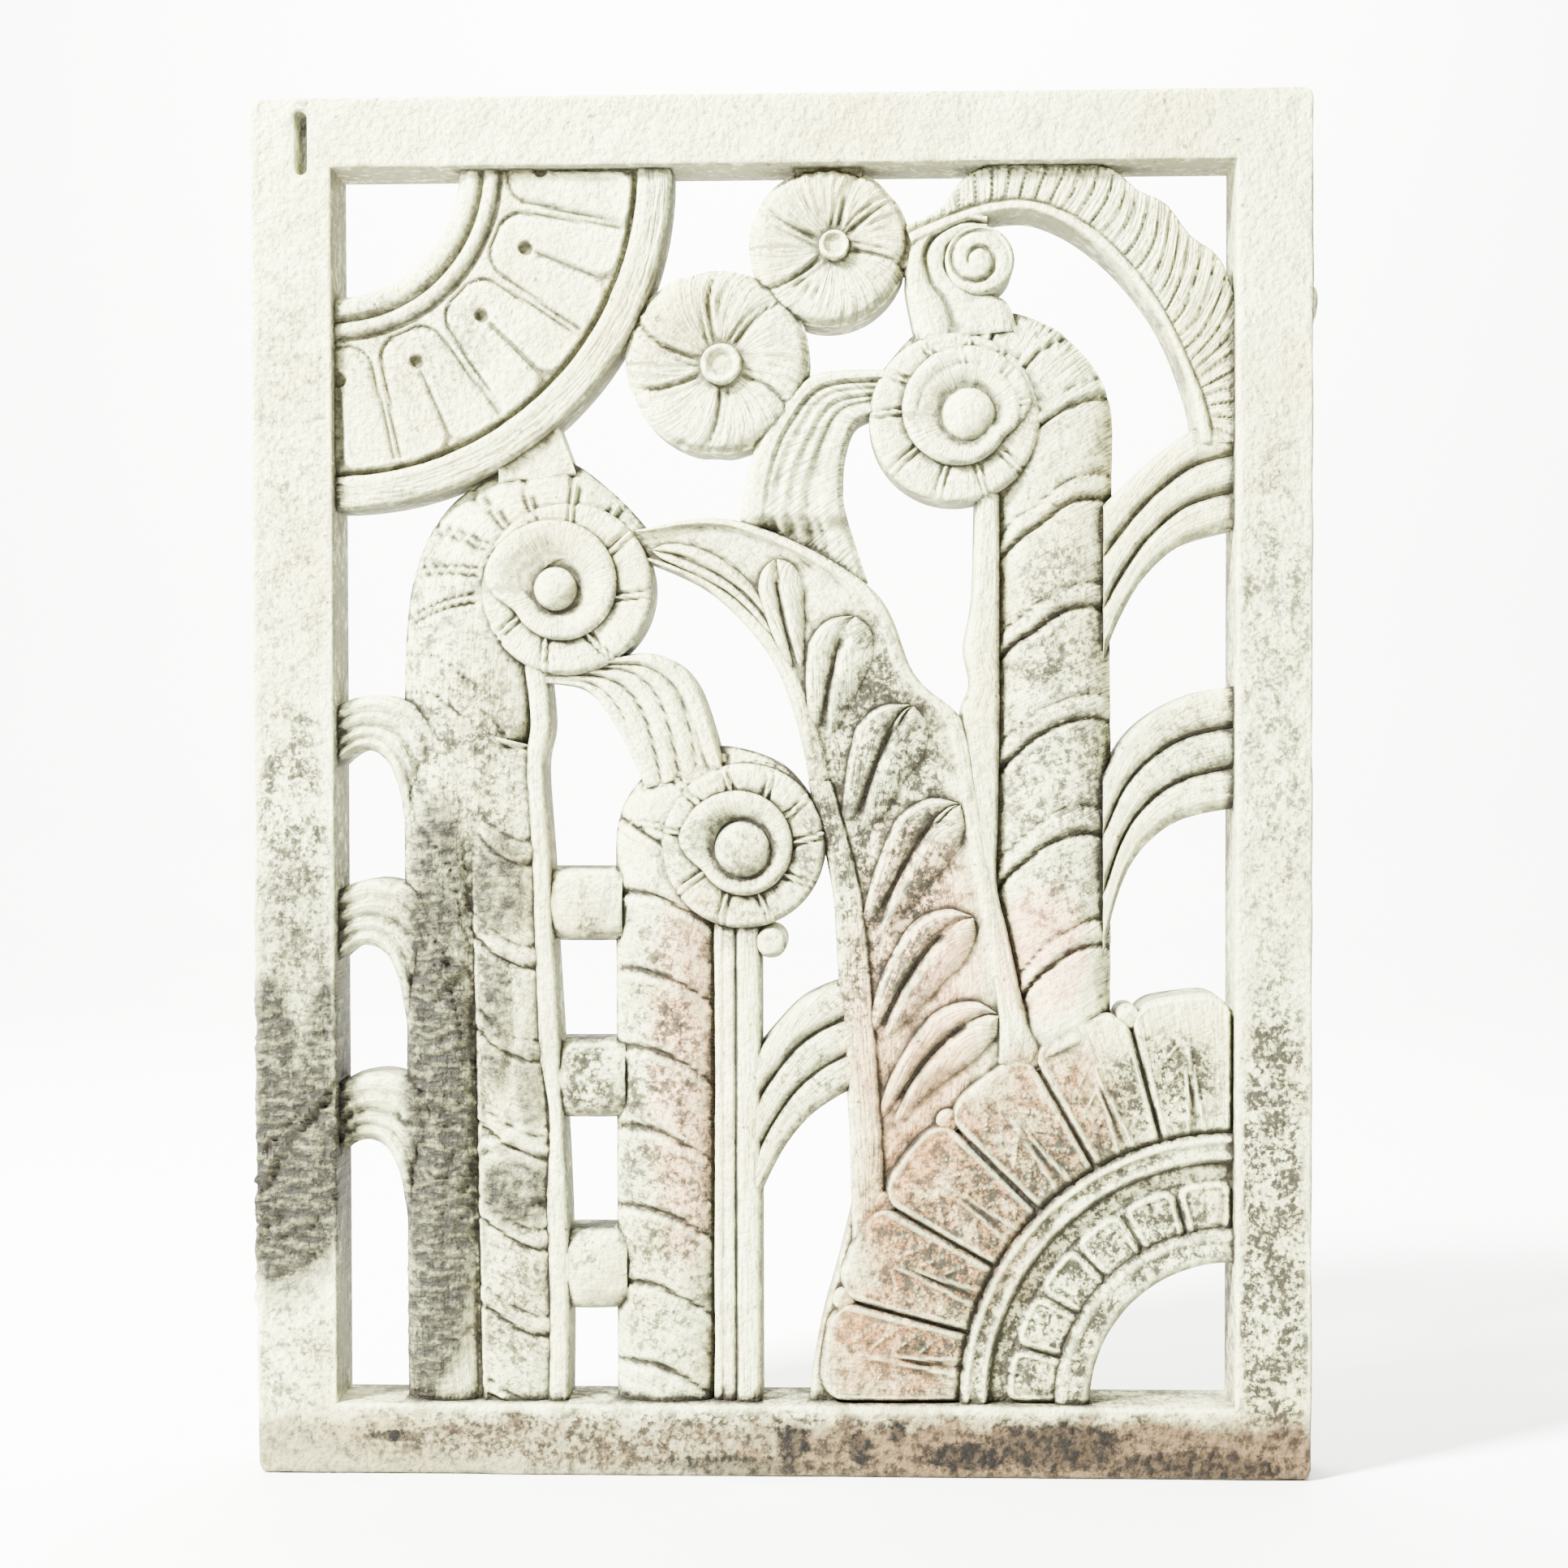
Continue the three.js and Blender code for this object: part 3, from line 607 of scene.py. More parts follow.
@dataclass(frozen=True)
class Fan:
    """Quarter fan in the lower right corner: rings, small petals and long petals with rounded ends."""

    centre: Point = (INNER_RIGHT, INNER_BOTTOM)
    petals: int = 6
    inner: float = 103.0
    outer: float = 300.0
    corner: float = 22.0
    tab: float = 9.0
    section: Table = ((103, 36), (105, 40.5), (109, 42.3), (118, 42), (122, 43.2), (126, 42.2), (129, 38),
                      (134, 39.2), (160, 39.6), (167, 36.4), (172, 37.4), (176, 36.6), (180, 42.6), (183, 42.2),
                      (186, 40.6), (190, 41), (192.5, 42.8), (195, 41.8), (198, 36.6), (203, 40.4), (215, 41.2),
                      (270, 42.6), (292, 41.6), (300, 39.5))

    def from_seam(self, degrees: np.ndarray) -> np.ndarray:
        """Turn in degrees to the nearest seam between long petals."""
        pitch = 90.0 / self.petals
        return np.abs((degrees + pitch / 2) % pitch - pitch / 2)

    def outline(self, degrees: np.ndarray) -> np.ndarray:
        """Outer radius of the long petals."""
        seam = np.radians(self.from_seam(degrees)) * (self.outer - 12.0)
        return self.outer - 1.0 * self.corner + np.sqrt(
            self.corner**2 - np.clip(self.corner - seam, 0.0, self.corner * 0.995) ** 2)

    def rise(self, face: Face) -> np.ndarray:
        """Height of the carving.

        Args:
            face: Places on the face.

        Returns:
            Rise above the back at each place.
        """
        r, degrees = face.polar(self.centre)
        degrees = degrees % 360.0
        rise = profile(self.section)(np.minimum(r, self.outer)) + 0.4 * grain(face.x, face.z, 11.0, 9.0)
        pitch = 90.0 / self.petals
        to_seam = np.radians(self.from_seam(degrees)) * r
        to_middle = np.radians(pitch / 2 - self.from_seam(degrees)) * r
        long = soft((r - 198.0) / 5.0)
        to_end = self.outline(degrees) - r
        rim = np.minimum(to_seam, to_end)
        rise = rise - long * 5.0 * soft((2.6 - to_seam) / 2.4) + long * 1.3 * ridge(rim - 4.4, 2.6)
        rise = rise - long * rounding(to_end, 4.0)
        spread = np.interp(r, (198.0, 225.0, 268.0), (6.5, 3.6, 0.6))
        vein_on = soft((r - 199.0) / 4.0) * soft((268.0 - r) / 8.0)
        rise = rise + vein_on * (2.6 * ridge(to_middle - spread, 2.4) - 0.9 * ridge(to_middle, 2.0))
        wave = (r - 200.0 + 0.55 * to_middle + 0.012 * to_middle**2) / 17.0
        branch = ridge((wave - np.round(wave)) * 17.0, 2.2) * soft((to_middle - spread) / 5.0) * soft((rim - 7.0) / 4.0)
        rise = rise + 1.5 * branch * soft((r - 205.0) / 6.0) * soft((280.0 - r) / 8.0)

        small = soft((r - 128.0) / 3.0) * soft((166.0 - r) / 3.0)
        bend = 11.0
        side = bend - to_seam + 1.4
        end = r - 164.0 + bend
        tip = np.hypot(np.maximum(side, 0), np.maximum(end, 0)) + np.minimum(np.maximum(side, end), 0) - bend
        bead = 1.9 * ridge(tip + 3.2, 2.8) - 2.6 * soft((tip + 0.6) / 1.8) + 1.0 * soft((-tip - 5.0) / 6.0)
        return rise + small * bead - small * 0.9 * ridge(to_middle, 2.2) * soft((r - 138.0) / 4.0)

    def combing(self, face: Face) -> tuple[np.ndarray, np.ndarray, np.ndarray]:
        """Strokes run outwards along the long petals."""
        r, degrees = face.polar(self.centre)
        return np.radians(degrees) * 250.0, r, 0.3 * soft((r - 198.0) / 5.0) + 0.1

    def tabs(self) -> list[bpy.types.Object]:
        """Models the small rounded tab behind every inner seam."""
        made = []
        for step in range(1, self.petals):
            turn = math.radians(90.0 + step * 90.0 / self.petals)
            reach = self.outer - self.tab
            at = (self.centre[0] + reach * math.cos(turn), self.centre[1] + reach * math.sin(turn))
            made.append(Disc("fan_tab", at, lambda degrees: np.full_like(degrees, self.tab),
                             lambda face: 40.3 - rounding(face.width - face.across, 3.5), spokes=28, rings=6).build())
        return made

    def build(self) -> list[bpy.types.Object]:
        """Models the fan, the low ground behind its petals and the tabs."""
        plate = Strip("fan", Arc(self.centre, self.inner, 87, 183), Arc(self.centre, self.outline, 87, 183),
                      self.rise, self.combing, step_along=1.75, step_across=2.05, crowding=0.0)
        ground = Strip("fan_ground", Arc(self.centre, 255, 98, 172), Arc(self.centre, self.outer - self.tab, 98, 172),
                       lambda face: np.full_like(face.u, 33.5), step_along=6.0, step_across=9.0)
        return [plate.build(), ground.build(), *self.tabs()]


@dataclass(frozen=True)
class Flower:
    """Flower with overlapping petals and a dished button."""

    name: str
    centre: Point
    radius: float
    hub: Point
    button: float
    seams: Sequence[float]
    section: Table = ((0, 38.5), (0.2, 38.6), (0.34, 40), (0.55, 42.6), (0.75, 43.8), (0.9, 42.2), (1, 36))

    def seam_near(self, degrees: np.ndarray) -> np.ndarray:
        """Signed turn in degrees to the nearest seam."""
        turns = np.stack([turn_between(degrees, seam) for seam in self.seams])
        return np.take_along_axis(turns, np.abs(turns).argmin(axis=0)[None], axis=0)[0]

    def reach(self, degrees: np.ndarray) -> np.ndarray:
        """Outer radius, nipped in at the seams."""
        return self.radius * (1.0 - 0.02 * ridge(self.seam_near(degrees), 11.0)
                              + 0.008 * np.sin(np.radians(degrees * 3)))

    def rise(self, face: Face) -> np.ndarray:
        """Height of the carving.

        Args:
            face: Places on the face.

        Returns:
            Rise above the back at each place.
        """
        r, degrees = face.polar(self.hub)
        curl = degrees + 0.006 * (r - 22.0) ** 2
        aside = np.radians(self.seam_near(curl)) * r
        rise = profile(self.section)(face.v)
        outward = soft((r - self.button) / 7.0)
        cut = 1.8 * ridge(aside, 2.6) + 1.4 * ridge(aside - 5.6, 2.2) - 1.4 * ridge(aside + 4.2, 3.0) + 1.6 * ridge(aside, 9.0)
        flutes = np.sin(np.radians(curl) * 34.0 + 1.6 * grain(face.x, face.z, 16.0, 1.0))
        grouped = soft(0.4 + 0.9 * grain(face.x, face.z, 24.0, self.button))
        rise = rise - outward * cut + outward * 1.1 * grouped * flutes * soft((face.v - 0.4) / 0.2)
        return rise + 0.45 * grain(face.x, face.z, 9.0, self.radius)

    def combing(self, face: Face) -> tuple[np.ndarray, np.ndarray, np.ndarray]:
        """Strokes run out from the button."""
        r, degrees = face.polar(self.hub)
        return np.radians(degrees + 0.006 * (r - 22.0) ** 2) * 44.0, r, 0.7 * soft((r - self.button) / 6.0)

    def build(self) -> list[bpy.types.Object]:
        """Models the petals and the button."""
        petals = Disc(self.name, self.centre, self.reach, self.rise, self.combing, spokes=140, rings=24)
        size = self.button
        dish = profile(((0, 43.4), (0.45, 43), (0.62, 44.4), (0.76, 46.6), (0.9, 46.4), (1, 41)))
        button = Disc(self.name + "_button", self.hub, lambda degrees: np.full_like(degrees, size),
                      lambda face: dish(face.v) + 0.4 * grain(face.x, face.z, 4.0, 6.0), spokes=40, rings=10)
        return [petals.build(), button.build()]


@dataclass(frozen=True)
class ScrollHead:
    """Spiral head of a scroll: outer whorl with pairs of ribs, inner whorl winding in, domed boss."""

    name: str
    disc: Point
    radius: float
    eye: Point
    start: float
    end: float
    angle: float
    turn: int
    boss: Point
    dome: float
    ribs: Sequence[float]
    inner_ribs: Sequence[float] = ()
    collar: float = 34.0

    def winding(self, degrees: np.ndarray) -> np.ndarray:
        """Radius of the inner whorl as it winds in."""
        share = (self.turn * (degrees - self.angle)) % 360.0 / 360.0
        back_out = np.maximum(0.0, (share - 0.86) / 0.14)
        return self.start + (self.end - self.start) * share + (self.start - self.end) * soft(back_out)

    def whorl_rise(self, face: Face) -> np.ndarray:
        """Height of the outer whorl with its ribs."""
        rise = profile(((0, 41), (0.5, 41.2), (0.62, 42.2), (0.8, 44.2), (0.92, 44), (1, 43.6)))(face.v)
        rise = rise - rounding(face.width - face.across, 5.5)
        rise = rise - 2.0 * rib_cuts(face, self.boss, self.ribs, (self.end, self.radius + 12.0))
        return rise + 0.4 * grain(face.x, face.z, 8.0, self.dome)

    def coil_rise(self, face: Face) -> np.ndarray:
        """Height of the inner whorl, rounded at its edge."""
        rise = profile(((0, 40.6), (0.42, 41), (0.6, 43.6), (0.82, 47), (1, 46.8)))(face.v)
        rise = rise - rounding(face.width - face.across, 5.0)
        r, _ = face.polar(self.boss)
        rise = rise - 1.6 * ridge(r - self.dome - 1.5, 5.0)
        rise = rise - 1.6 * rib_cuts(face, self.boss, self.inner_ribs, (self.collar - 1.0, self.start + 4.0), 4.4)
        step = 1.6 * soft((self.collar - r) / 2.0) - 1.0 * ridge(r - self.collar - 1.6, 2.0)
        return rise + (step if self.inner_ribs else 0.0) + 0.35 * grain(face.x, face.z, 7.0, self.dome + 1)

    def dome_rise(self, face: Face) -> np.ndarray:
        """Height of the boss: a low dome in a shallow ring."""
        return 38.6 + 12.2 * np.sqrt(np.maximum(0.0, 1.0 - (0.985 * face.v) ** 2))

    def build(self) -> list[bpy.types.Object]:
        """Models the two whorls and the boss."""

        def spokes(face: Face) -> tuple[np.ndarray, np.ndarray, np.ndarray]:
            """Strokes run out from the boss."""
            r, degrees = face.polar(self.boss)
            return np.radians(degrees) * 48.0, r, np.full_like(r, 0.4)

        whorl = Disc(self.name, self.disc, lambda degrees: np.full_like(degrees, self.radius), self.whorl_rise,
                     spokes, spokes=160, rings=20, core=0.35)
        coil = Disc(self.name + "_coil", self.eye, self.winding, self.coil_rise, spokes, spokes=130, rings=18)
        cap = Disc(self.name + "_boss", self.boss, lambda degrees: np.full_like(degrees, self.dome),
                   self.dome_rise, spokes=44, rings=10)
        return [whorl.build(), coil.build(), cap.build()]


COLUMN: Table = ((0, 26), (0.03, 29.5), (0.1, 34.2), (0.22, 38.4), (0.42, 41.8), (0.6, 41.6), (0.8, 38.2), (0.93, 33),
                 (1, 28))
RIBBON: Table = ((0, 36), (0.14, 39.6), (0.35, 40.4), (0.7, 40.2), (0.9, 39.2), (1, 36))


def banded(section: Table, intervals: int, fillet: float, cut: float, bow: float) -> Rise:
    """Height of a shaft rounded across, with a groove and a raised fillet at every band.

    Args:
        section: Height across the shaft.
        intervals: Equal steps along the shaft.
        fillet: Share of a step that the fillet takes.
        cut: Depth of the groove.
        bow: Share of a step by which the bands are bowed.

    Returns:
        Height as a function of the face.
    """
    across = profile(section)

    def rise(face: Face) -> np.ndarray:
        """Rise above the back at each place."""
        wrap = np.sin(face.v * math.pi / 2) - face.v
        place = face.u * intervals - bow * wrap + 0.03 * grain(face.x, face.z, 21.0, 4.0)
        share = place - np.floor(place)
        pitch = face.along.max() / intervals
        up = share * pitch
        down = (1.0 - share) * pitch
        groove = ridge(np.minimum(up, down), 3.2) * cut * (1.0 - 0.45 * face.v)
        ledge = 1.5 * ridge(up - 0.5 * fillet * pitch, 0.62 * fillet * pitch)
        second = 1.5 * ridge(up - fillet * pitch * 1.12, 1.9)
        return (across(face.v) + ledge - groove - second + 0.5 * grain(face.x, face.z, 13.0, 7.0)
                + 0.3 * grain(face.x, face.z, 5.0, 8.0))

    return rise


def moulded(section: Table, roughness: float = 0.35) -> Rise:
    """Height of a moulding with the same section from end to end."""
    across = profile(section)
    return lambda face: across(face.v) + roughness * grain(face.x, face.z, 10.0, 11.0)


@dataclass(frozen=True)
class LeftScroll:
    """Left scroll: plain flank turning over into the head, banded shaft, wavy ribbon and hoops."""

    hub: Point = (-163.0, 645.0)
    flank_ribs: Sequence[float] = (52.0, 78.0, 106.0, 128.0, 149.0, 168.0, 186.0)
    flank_left: Sequence[Point] = (
        (-276, 30), (-276, 130), (-276, 230), (-276, 330), (-277, 430), (-277, 530), (-275, 610), (-266, 665),
        (-241, 708), (-200, 734), (-158, 740), (-122, 716), (-96, 688))
    flank_right: Sequence[Point] = (
        (-212, 30), (-213, 130), (-215, 230), (-216, 330), (-210, 430), (-182, 530), (-178, 600), (-184, 630),
        (-182, 652), (-170, 662), (-158, 664), (-146, 660), (-136, 650))
    shaft_left: Sequence[Point] = (
        (-218, 30), (-219, 60), (-220, 122), (-221, 187), (-222, 255), (-223, 325), (-225, 393), (-228, 470),
        (-236, 545))
    shaft_right: Sequence[Point] = (
        (-166, 22), (-166, 38), (-165, 99), (-166, 163), (-166, 231), (-171, 301), (-174, 369), (-177, 446),
        (-178, 530))
    ribbon_left: Sequence[Point] = (
        (-172, 30), (-170, 120), (-172, 190), (-170, 260), (-177, 310), (-180, 380), (-182, 450), (-186, 515),
        (-182, 550), (-188, 600))
    ribbon_right: Sequence[Point] = (
        (-156, 30), (-155, 120), (-156, 190), (-159, 260), (-161, 310), (-165, 380), (-168, 450), (-172, 515),
        (-167, 548), (-172, 600))
    hoops: Sequence[Point] = ((528, 38), (385, 46), (242, 47))
    hoop_low: Sequence[Point] = ((-330, -17), (-314, -3), (-301, 0), (-289, -7), (-281, -25), (-276, -60))
    hoop_high: Sequence[Point] = ((-330, -9), (-312, 0), (-288, 2), (-262, -9), (-246, -36), (-236, -72))
    folds: Sequence[Sequence[Point]] = (
        ((-276, 572), (-254, 569), (-232, 553)), ((-229, 567), (-206, 545), (-190, 512)),
        ((-276, 600), (-250, 596), (-222, 574)), ((-262, 470), (-240, 440), (-232, 396)),
        ((-252, 372), (-240, 350), (-233, 318)), ((-262, 400), (-246, 380), (-236, 350)))

    def flank_rise(self, face: Face) -> np.ndarray:
        """Height of the flank: rounded, ribbed where it turns over, with folds pulled down from the hoops."""
        rise = profile(COLUMN)(face.v) - 2.6 * rib_cuts(face, self.hub, self.flank_ribs, (56.0, 112.0), 6.0)
        for fold in self.folds:
            line = Edge(fold).at(np.linspace(0.0, 1.0, 13))
            apart = np.min(np.hypot(face.x[:, None] - line[:, 0], face.z[:, None] - line[:, 1]), axis=1)
            rise = rise - 1.5 * ridge(apart, 2.6) + 0.9 * ridge(apart - 4.2, 3.2)
        seam = Edge(self.shaft_left).at(np.linspace(0.0, 1.0, 90))
        apart = np.min(np.hypot(face.x[:, None] - seam[:, 0], face.z[:, None] - seam[:, 1]), axis=1)
        return (rise + 0.6 * grain(face.x, face.z, 19.0, 1.0) + 0.4 * grain(face.x, face.z, 6.5, 2.0)
                - 1.2 * ridge(apart - 4.0, 2.4))

    def build(self) -> list[bpy.types.Object]:
        """Models the pieces of the scroll."""
        shaft_section = ((0, 37), (0.04, 39.6), (0.1, 38.8), (0.3, 40.6), (0.65, 40.4), (0.9, 37.6), (1, 35))
        hoop_section = ((0, 34), (0.06, 38), (0.14, 40.2), (0.24, 38.2), (0.34, 40.6), (0.46, 38.4), (0.6, 41),
                        (0.72, 39.2), (0.84, 40.8), (0.95, 38.4), (1, 35))
        hoop = moulded(hoop_section)
        made = [
            Strip("left_flank", Edge(self.flank_left), Edge(self.flank_right), self.flank_rise, combed_along(0.35),
                  step_along=2.9).build(),
            Strip("left_shaft", Edge(self.shaft_left), Edge(self.shaft_right),
                  banded(shaft_section, 8, 0.2, 3.6, -0.5), combed_across(0.6), step_along=2.6).build(),
            Strip("left_ribbon", Edge(self.ribbon_left), Edge(self.ribbon_right), moulded(RIBBON, 0.5),
                  combed_along(0.3), step_along=3.6).build(),
        ]
        for apex, thickness in self.hoops:
            made.append(Strip(
                "left_hoop", Edge([(x, apex + z) for x, z in self.hoop_low]),
                Edge([(x, apex + thickness + z) for x, z in self.hoop_high]),
                lambda face: hoop(face) - 9.0 * soft((face.u - 0.68) / 0.32),
                combed_along(0.8), step_along=2.4, step_across=2.0).build())
        return made


@dataclass(frozen=True)
class MiddleScroll:
    """Middle scroll: banded column turning over into its head, with two strips and a knob."""

    hub: Point = (-27.0, 455.0)
    top_ribs: Sequence[float] = (66.0, 100.0, 132.0, 163.0)
    left: Sequence[Point] = (
        (-121, 26), (-121, 80), (-121, 138), (-121, 194), (-121, 251), (-121, 310), (-121, 367), (-121, 424),
        (-118, 480), (-92, 516), (-48, 531), (0, 518), (28, 486))
    right: Sequence[Point] = (
        (-47, 14), (-47, 52), (-47, 110), (-47, 166), (-47, 223), (-47, 282), (-47, 339), (-48, 396), (-56, 440),
        (-52, 462), (-38, 474), (-22, 474), (-8, 462))
    knob: Point = (-7.0, 388.0)

    def column_rise(self, face: Face) -> np.ndarray:
        """Height of the column, its crescent grooves bowed upwards, and ribs where it turns over."""
        bow = 0.32 * (4 * face.v * (1 - face.v)) * soft((8.2 - face.u * 12) / 0.8)
        place = face.u * 12 - bow * 0.55 + 0.02 * grain(face.x, face.z, 18.0, 14.0)
        share = place - np.round(place)
        pitch = face.along.max() / 12
        on = soft((8.3 - place) / 0.3) * soft(place / 0.2)
        deep = np.interp(face.v, (0.0, 0.06, 0.5, 0.8, 1.0), (1.5, 4.2, 3.6, 2.0, 1.0))
        half = np.interp(face.v, (0.0, 0.5, 1.0), (4.2, 3.6, 2.2))
        rise = profile(COLUMN)(face.v) - on * deep * (1 - np.clip(np.abs(share * pitch) / half, 0, 1) ** 2) ** 2
        rise = rise + on * 1.3 * ridge(share * pitch + 6.0, 4.5)
        middle = share - 0.5 * np.sign(share)
        rise = rise - on * 0.9 * ridge(middle * pitch, 1.7) * soft((face.v - 0.25) / 0.2)
        rise = rise - 1.9 * rib_cuts(face, self.hub, self.top_ribs, (46.0, 100.0), 5.0)
        return rise + 0.5 * grain(face.x, face.z, 12.0, 21.0) + 0.3 * grain(face.x, face.z, 5.0, 22.0)

    def build(self) -> list[bpy.types.Object]:
        """Models the pieces of the scroll."""
        fillet = ((0, 36), (0.2, 37.6), (0.4, 36.2), (0.55, 38.2), (0.75, 38), (1, 35.6))
        cap = profile(((0, 43), (0.5, 42.6), (0.8, 40.8), (1, 36.5)))
        return [
            Strip("middle_column", Edge(self.left), Edge(self.right), self.column_rise, combed_across(0.4),
                  step_along=2.5, step_across=2.4).build(),
            Strip("middle_fillet", Edge(((-49, 30), (-48, 220), (-48, 412))), Edge(((-31, 30), (-31, 220), (-31, 412))),
                  moulded(fillet), combed_along(0.4), step_along=4.5, step_across=1.9).build(),
            Strip("middle_band", Edge(((-33, 30), (-33, 220), (-33, 406))), Edge(((-14, 30), (-14, 220), (-14, 406))),
                  moulded(RIBBON), combed_along(0.5), step_along=4.5, step_across=1.9).build(),
            Disc("middle_knob", self.knob, lambda degrees: np.full_like(degrees, 12.0), lambda face: cap(face.v),
                 spokes=36, rings=8).build(),
        ]


@dataclass(frozen=True)
class RightScroll:
    """Right scroll: twisted column turning over into its head, with a wavy ribbon."""

    left: Sequence[Point] = (
        (170, 290), (170, 342), (156, 425), (154, 510), (155, 590), (155, 662), (156, 730), (150, 766), (142, 782),
        (130, 786), (118, 780), (112, 768))
    right: Sequence[Point] = (
        (240, 310), (240, 384), (240, 466), (240, 546), (240, 627), (241, 708), (238, 783), (208, 826), (168, 845),
        (128, 845), (96, 828), (72, 800))
    ribbon_left: Sequence[Point] = (
        (157, 300), (157, 330), (150, 390), (143, 430), (140, 480), (131, 548), (138, 575), (134, 602), (140, 640),
        (142, 715))
    ribbon_right: Sequence[Point] = (
        (178, 300), (178, 330), (166, 390), (157, 430), (158, 480), (159, 548), (159, 575), (159, 602), (159, 640),
        (159, 715))

    def build(self) -> list[bpy.types.Object]:
        """Models the column and its ribbon."""

        def combing(face: Face) -> tuple[np.ndarray, np.ndarray, np.ndarray]:
            """Strokes run in from the right edge."""
            return face.along, face.across, 0.25 + 0.9 * soft((face.v - 0.55) / 0.4)

        return [
            Strip("right_column", Edge(self.left), Edge(self.right), banded(COLUMN, 11, 0.2, 4.8, 0.9), combing,
                  step_along=2.4, step_across=2.4).build(),
            Strip("right_ribbon", Edge(self.ribbon_left), Edge(self.ribbon_right), moulded(RIBBON, 0.5),
                  combed_along(0.4), step_along=3.4).build(),
        ]


@dataclass(frozen=True)
class Arches:
    """Ridged arches: two from the right column to the rail and one across the middle."""

    section: Table = ((0, 34), (0.04, 37.5), (0.12, 40), (0.24, 40.2), (0.3, 38.6), (0.335, 35.2), (0.37, 38.6),
                      (0.45, 40.8), (0.58, 40.4), (0.635, 38.4), (0.67, 35.2), (0.705, 38.6), (0.78, 40.6),
                      (0.92, 39.6), (0.97, 37.5), (1, 34))
    runs: Sequence[tuple[Sequence[Point], Sequence[Point]]] = (
        (((234, 592), (246, 622), (264, 652), (292, 676), (334, 688)),
         ((234, 704), (252, 722), (275, 742), (302, 760), (334, 768))),
        (((234, 380), (246, 425), (262, 455), (290, 476), (334, 486)),
         ((234, 508), (250, 536), (272, 555), (300, 568), (334, 574))),
        (((-18, 196), (-4, 226), (10, 248), (28, 266), (54, 282)),
         ((-18, 309), (-2, 328), (14, 344), (30, 353), (50, 360))),
    )

    def build(self) -> list[bpy.types.Object]:
        """Models the three arches."""
        return [Strip("arch", Edge(low), Edge(high), moulded(self.section, 0.5), combed_along(0.5),
                      step_along=2.9, step_across=2.0, crowding=0.2).build() for low, high in self.runs]


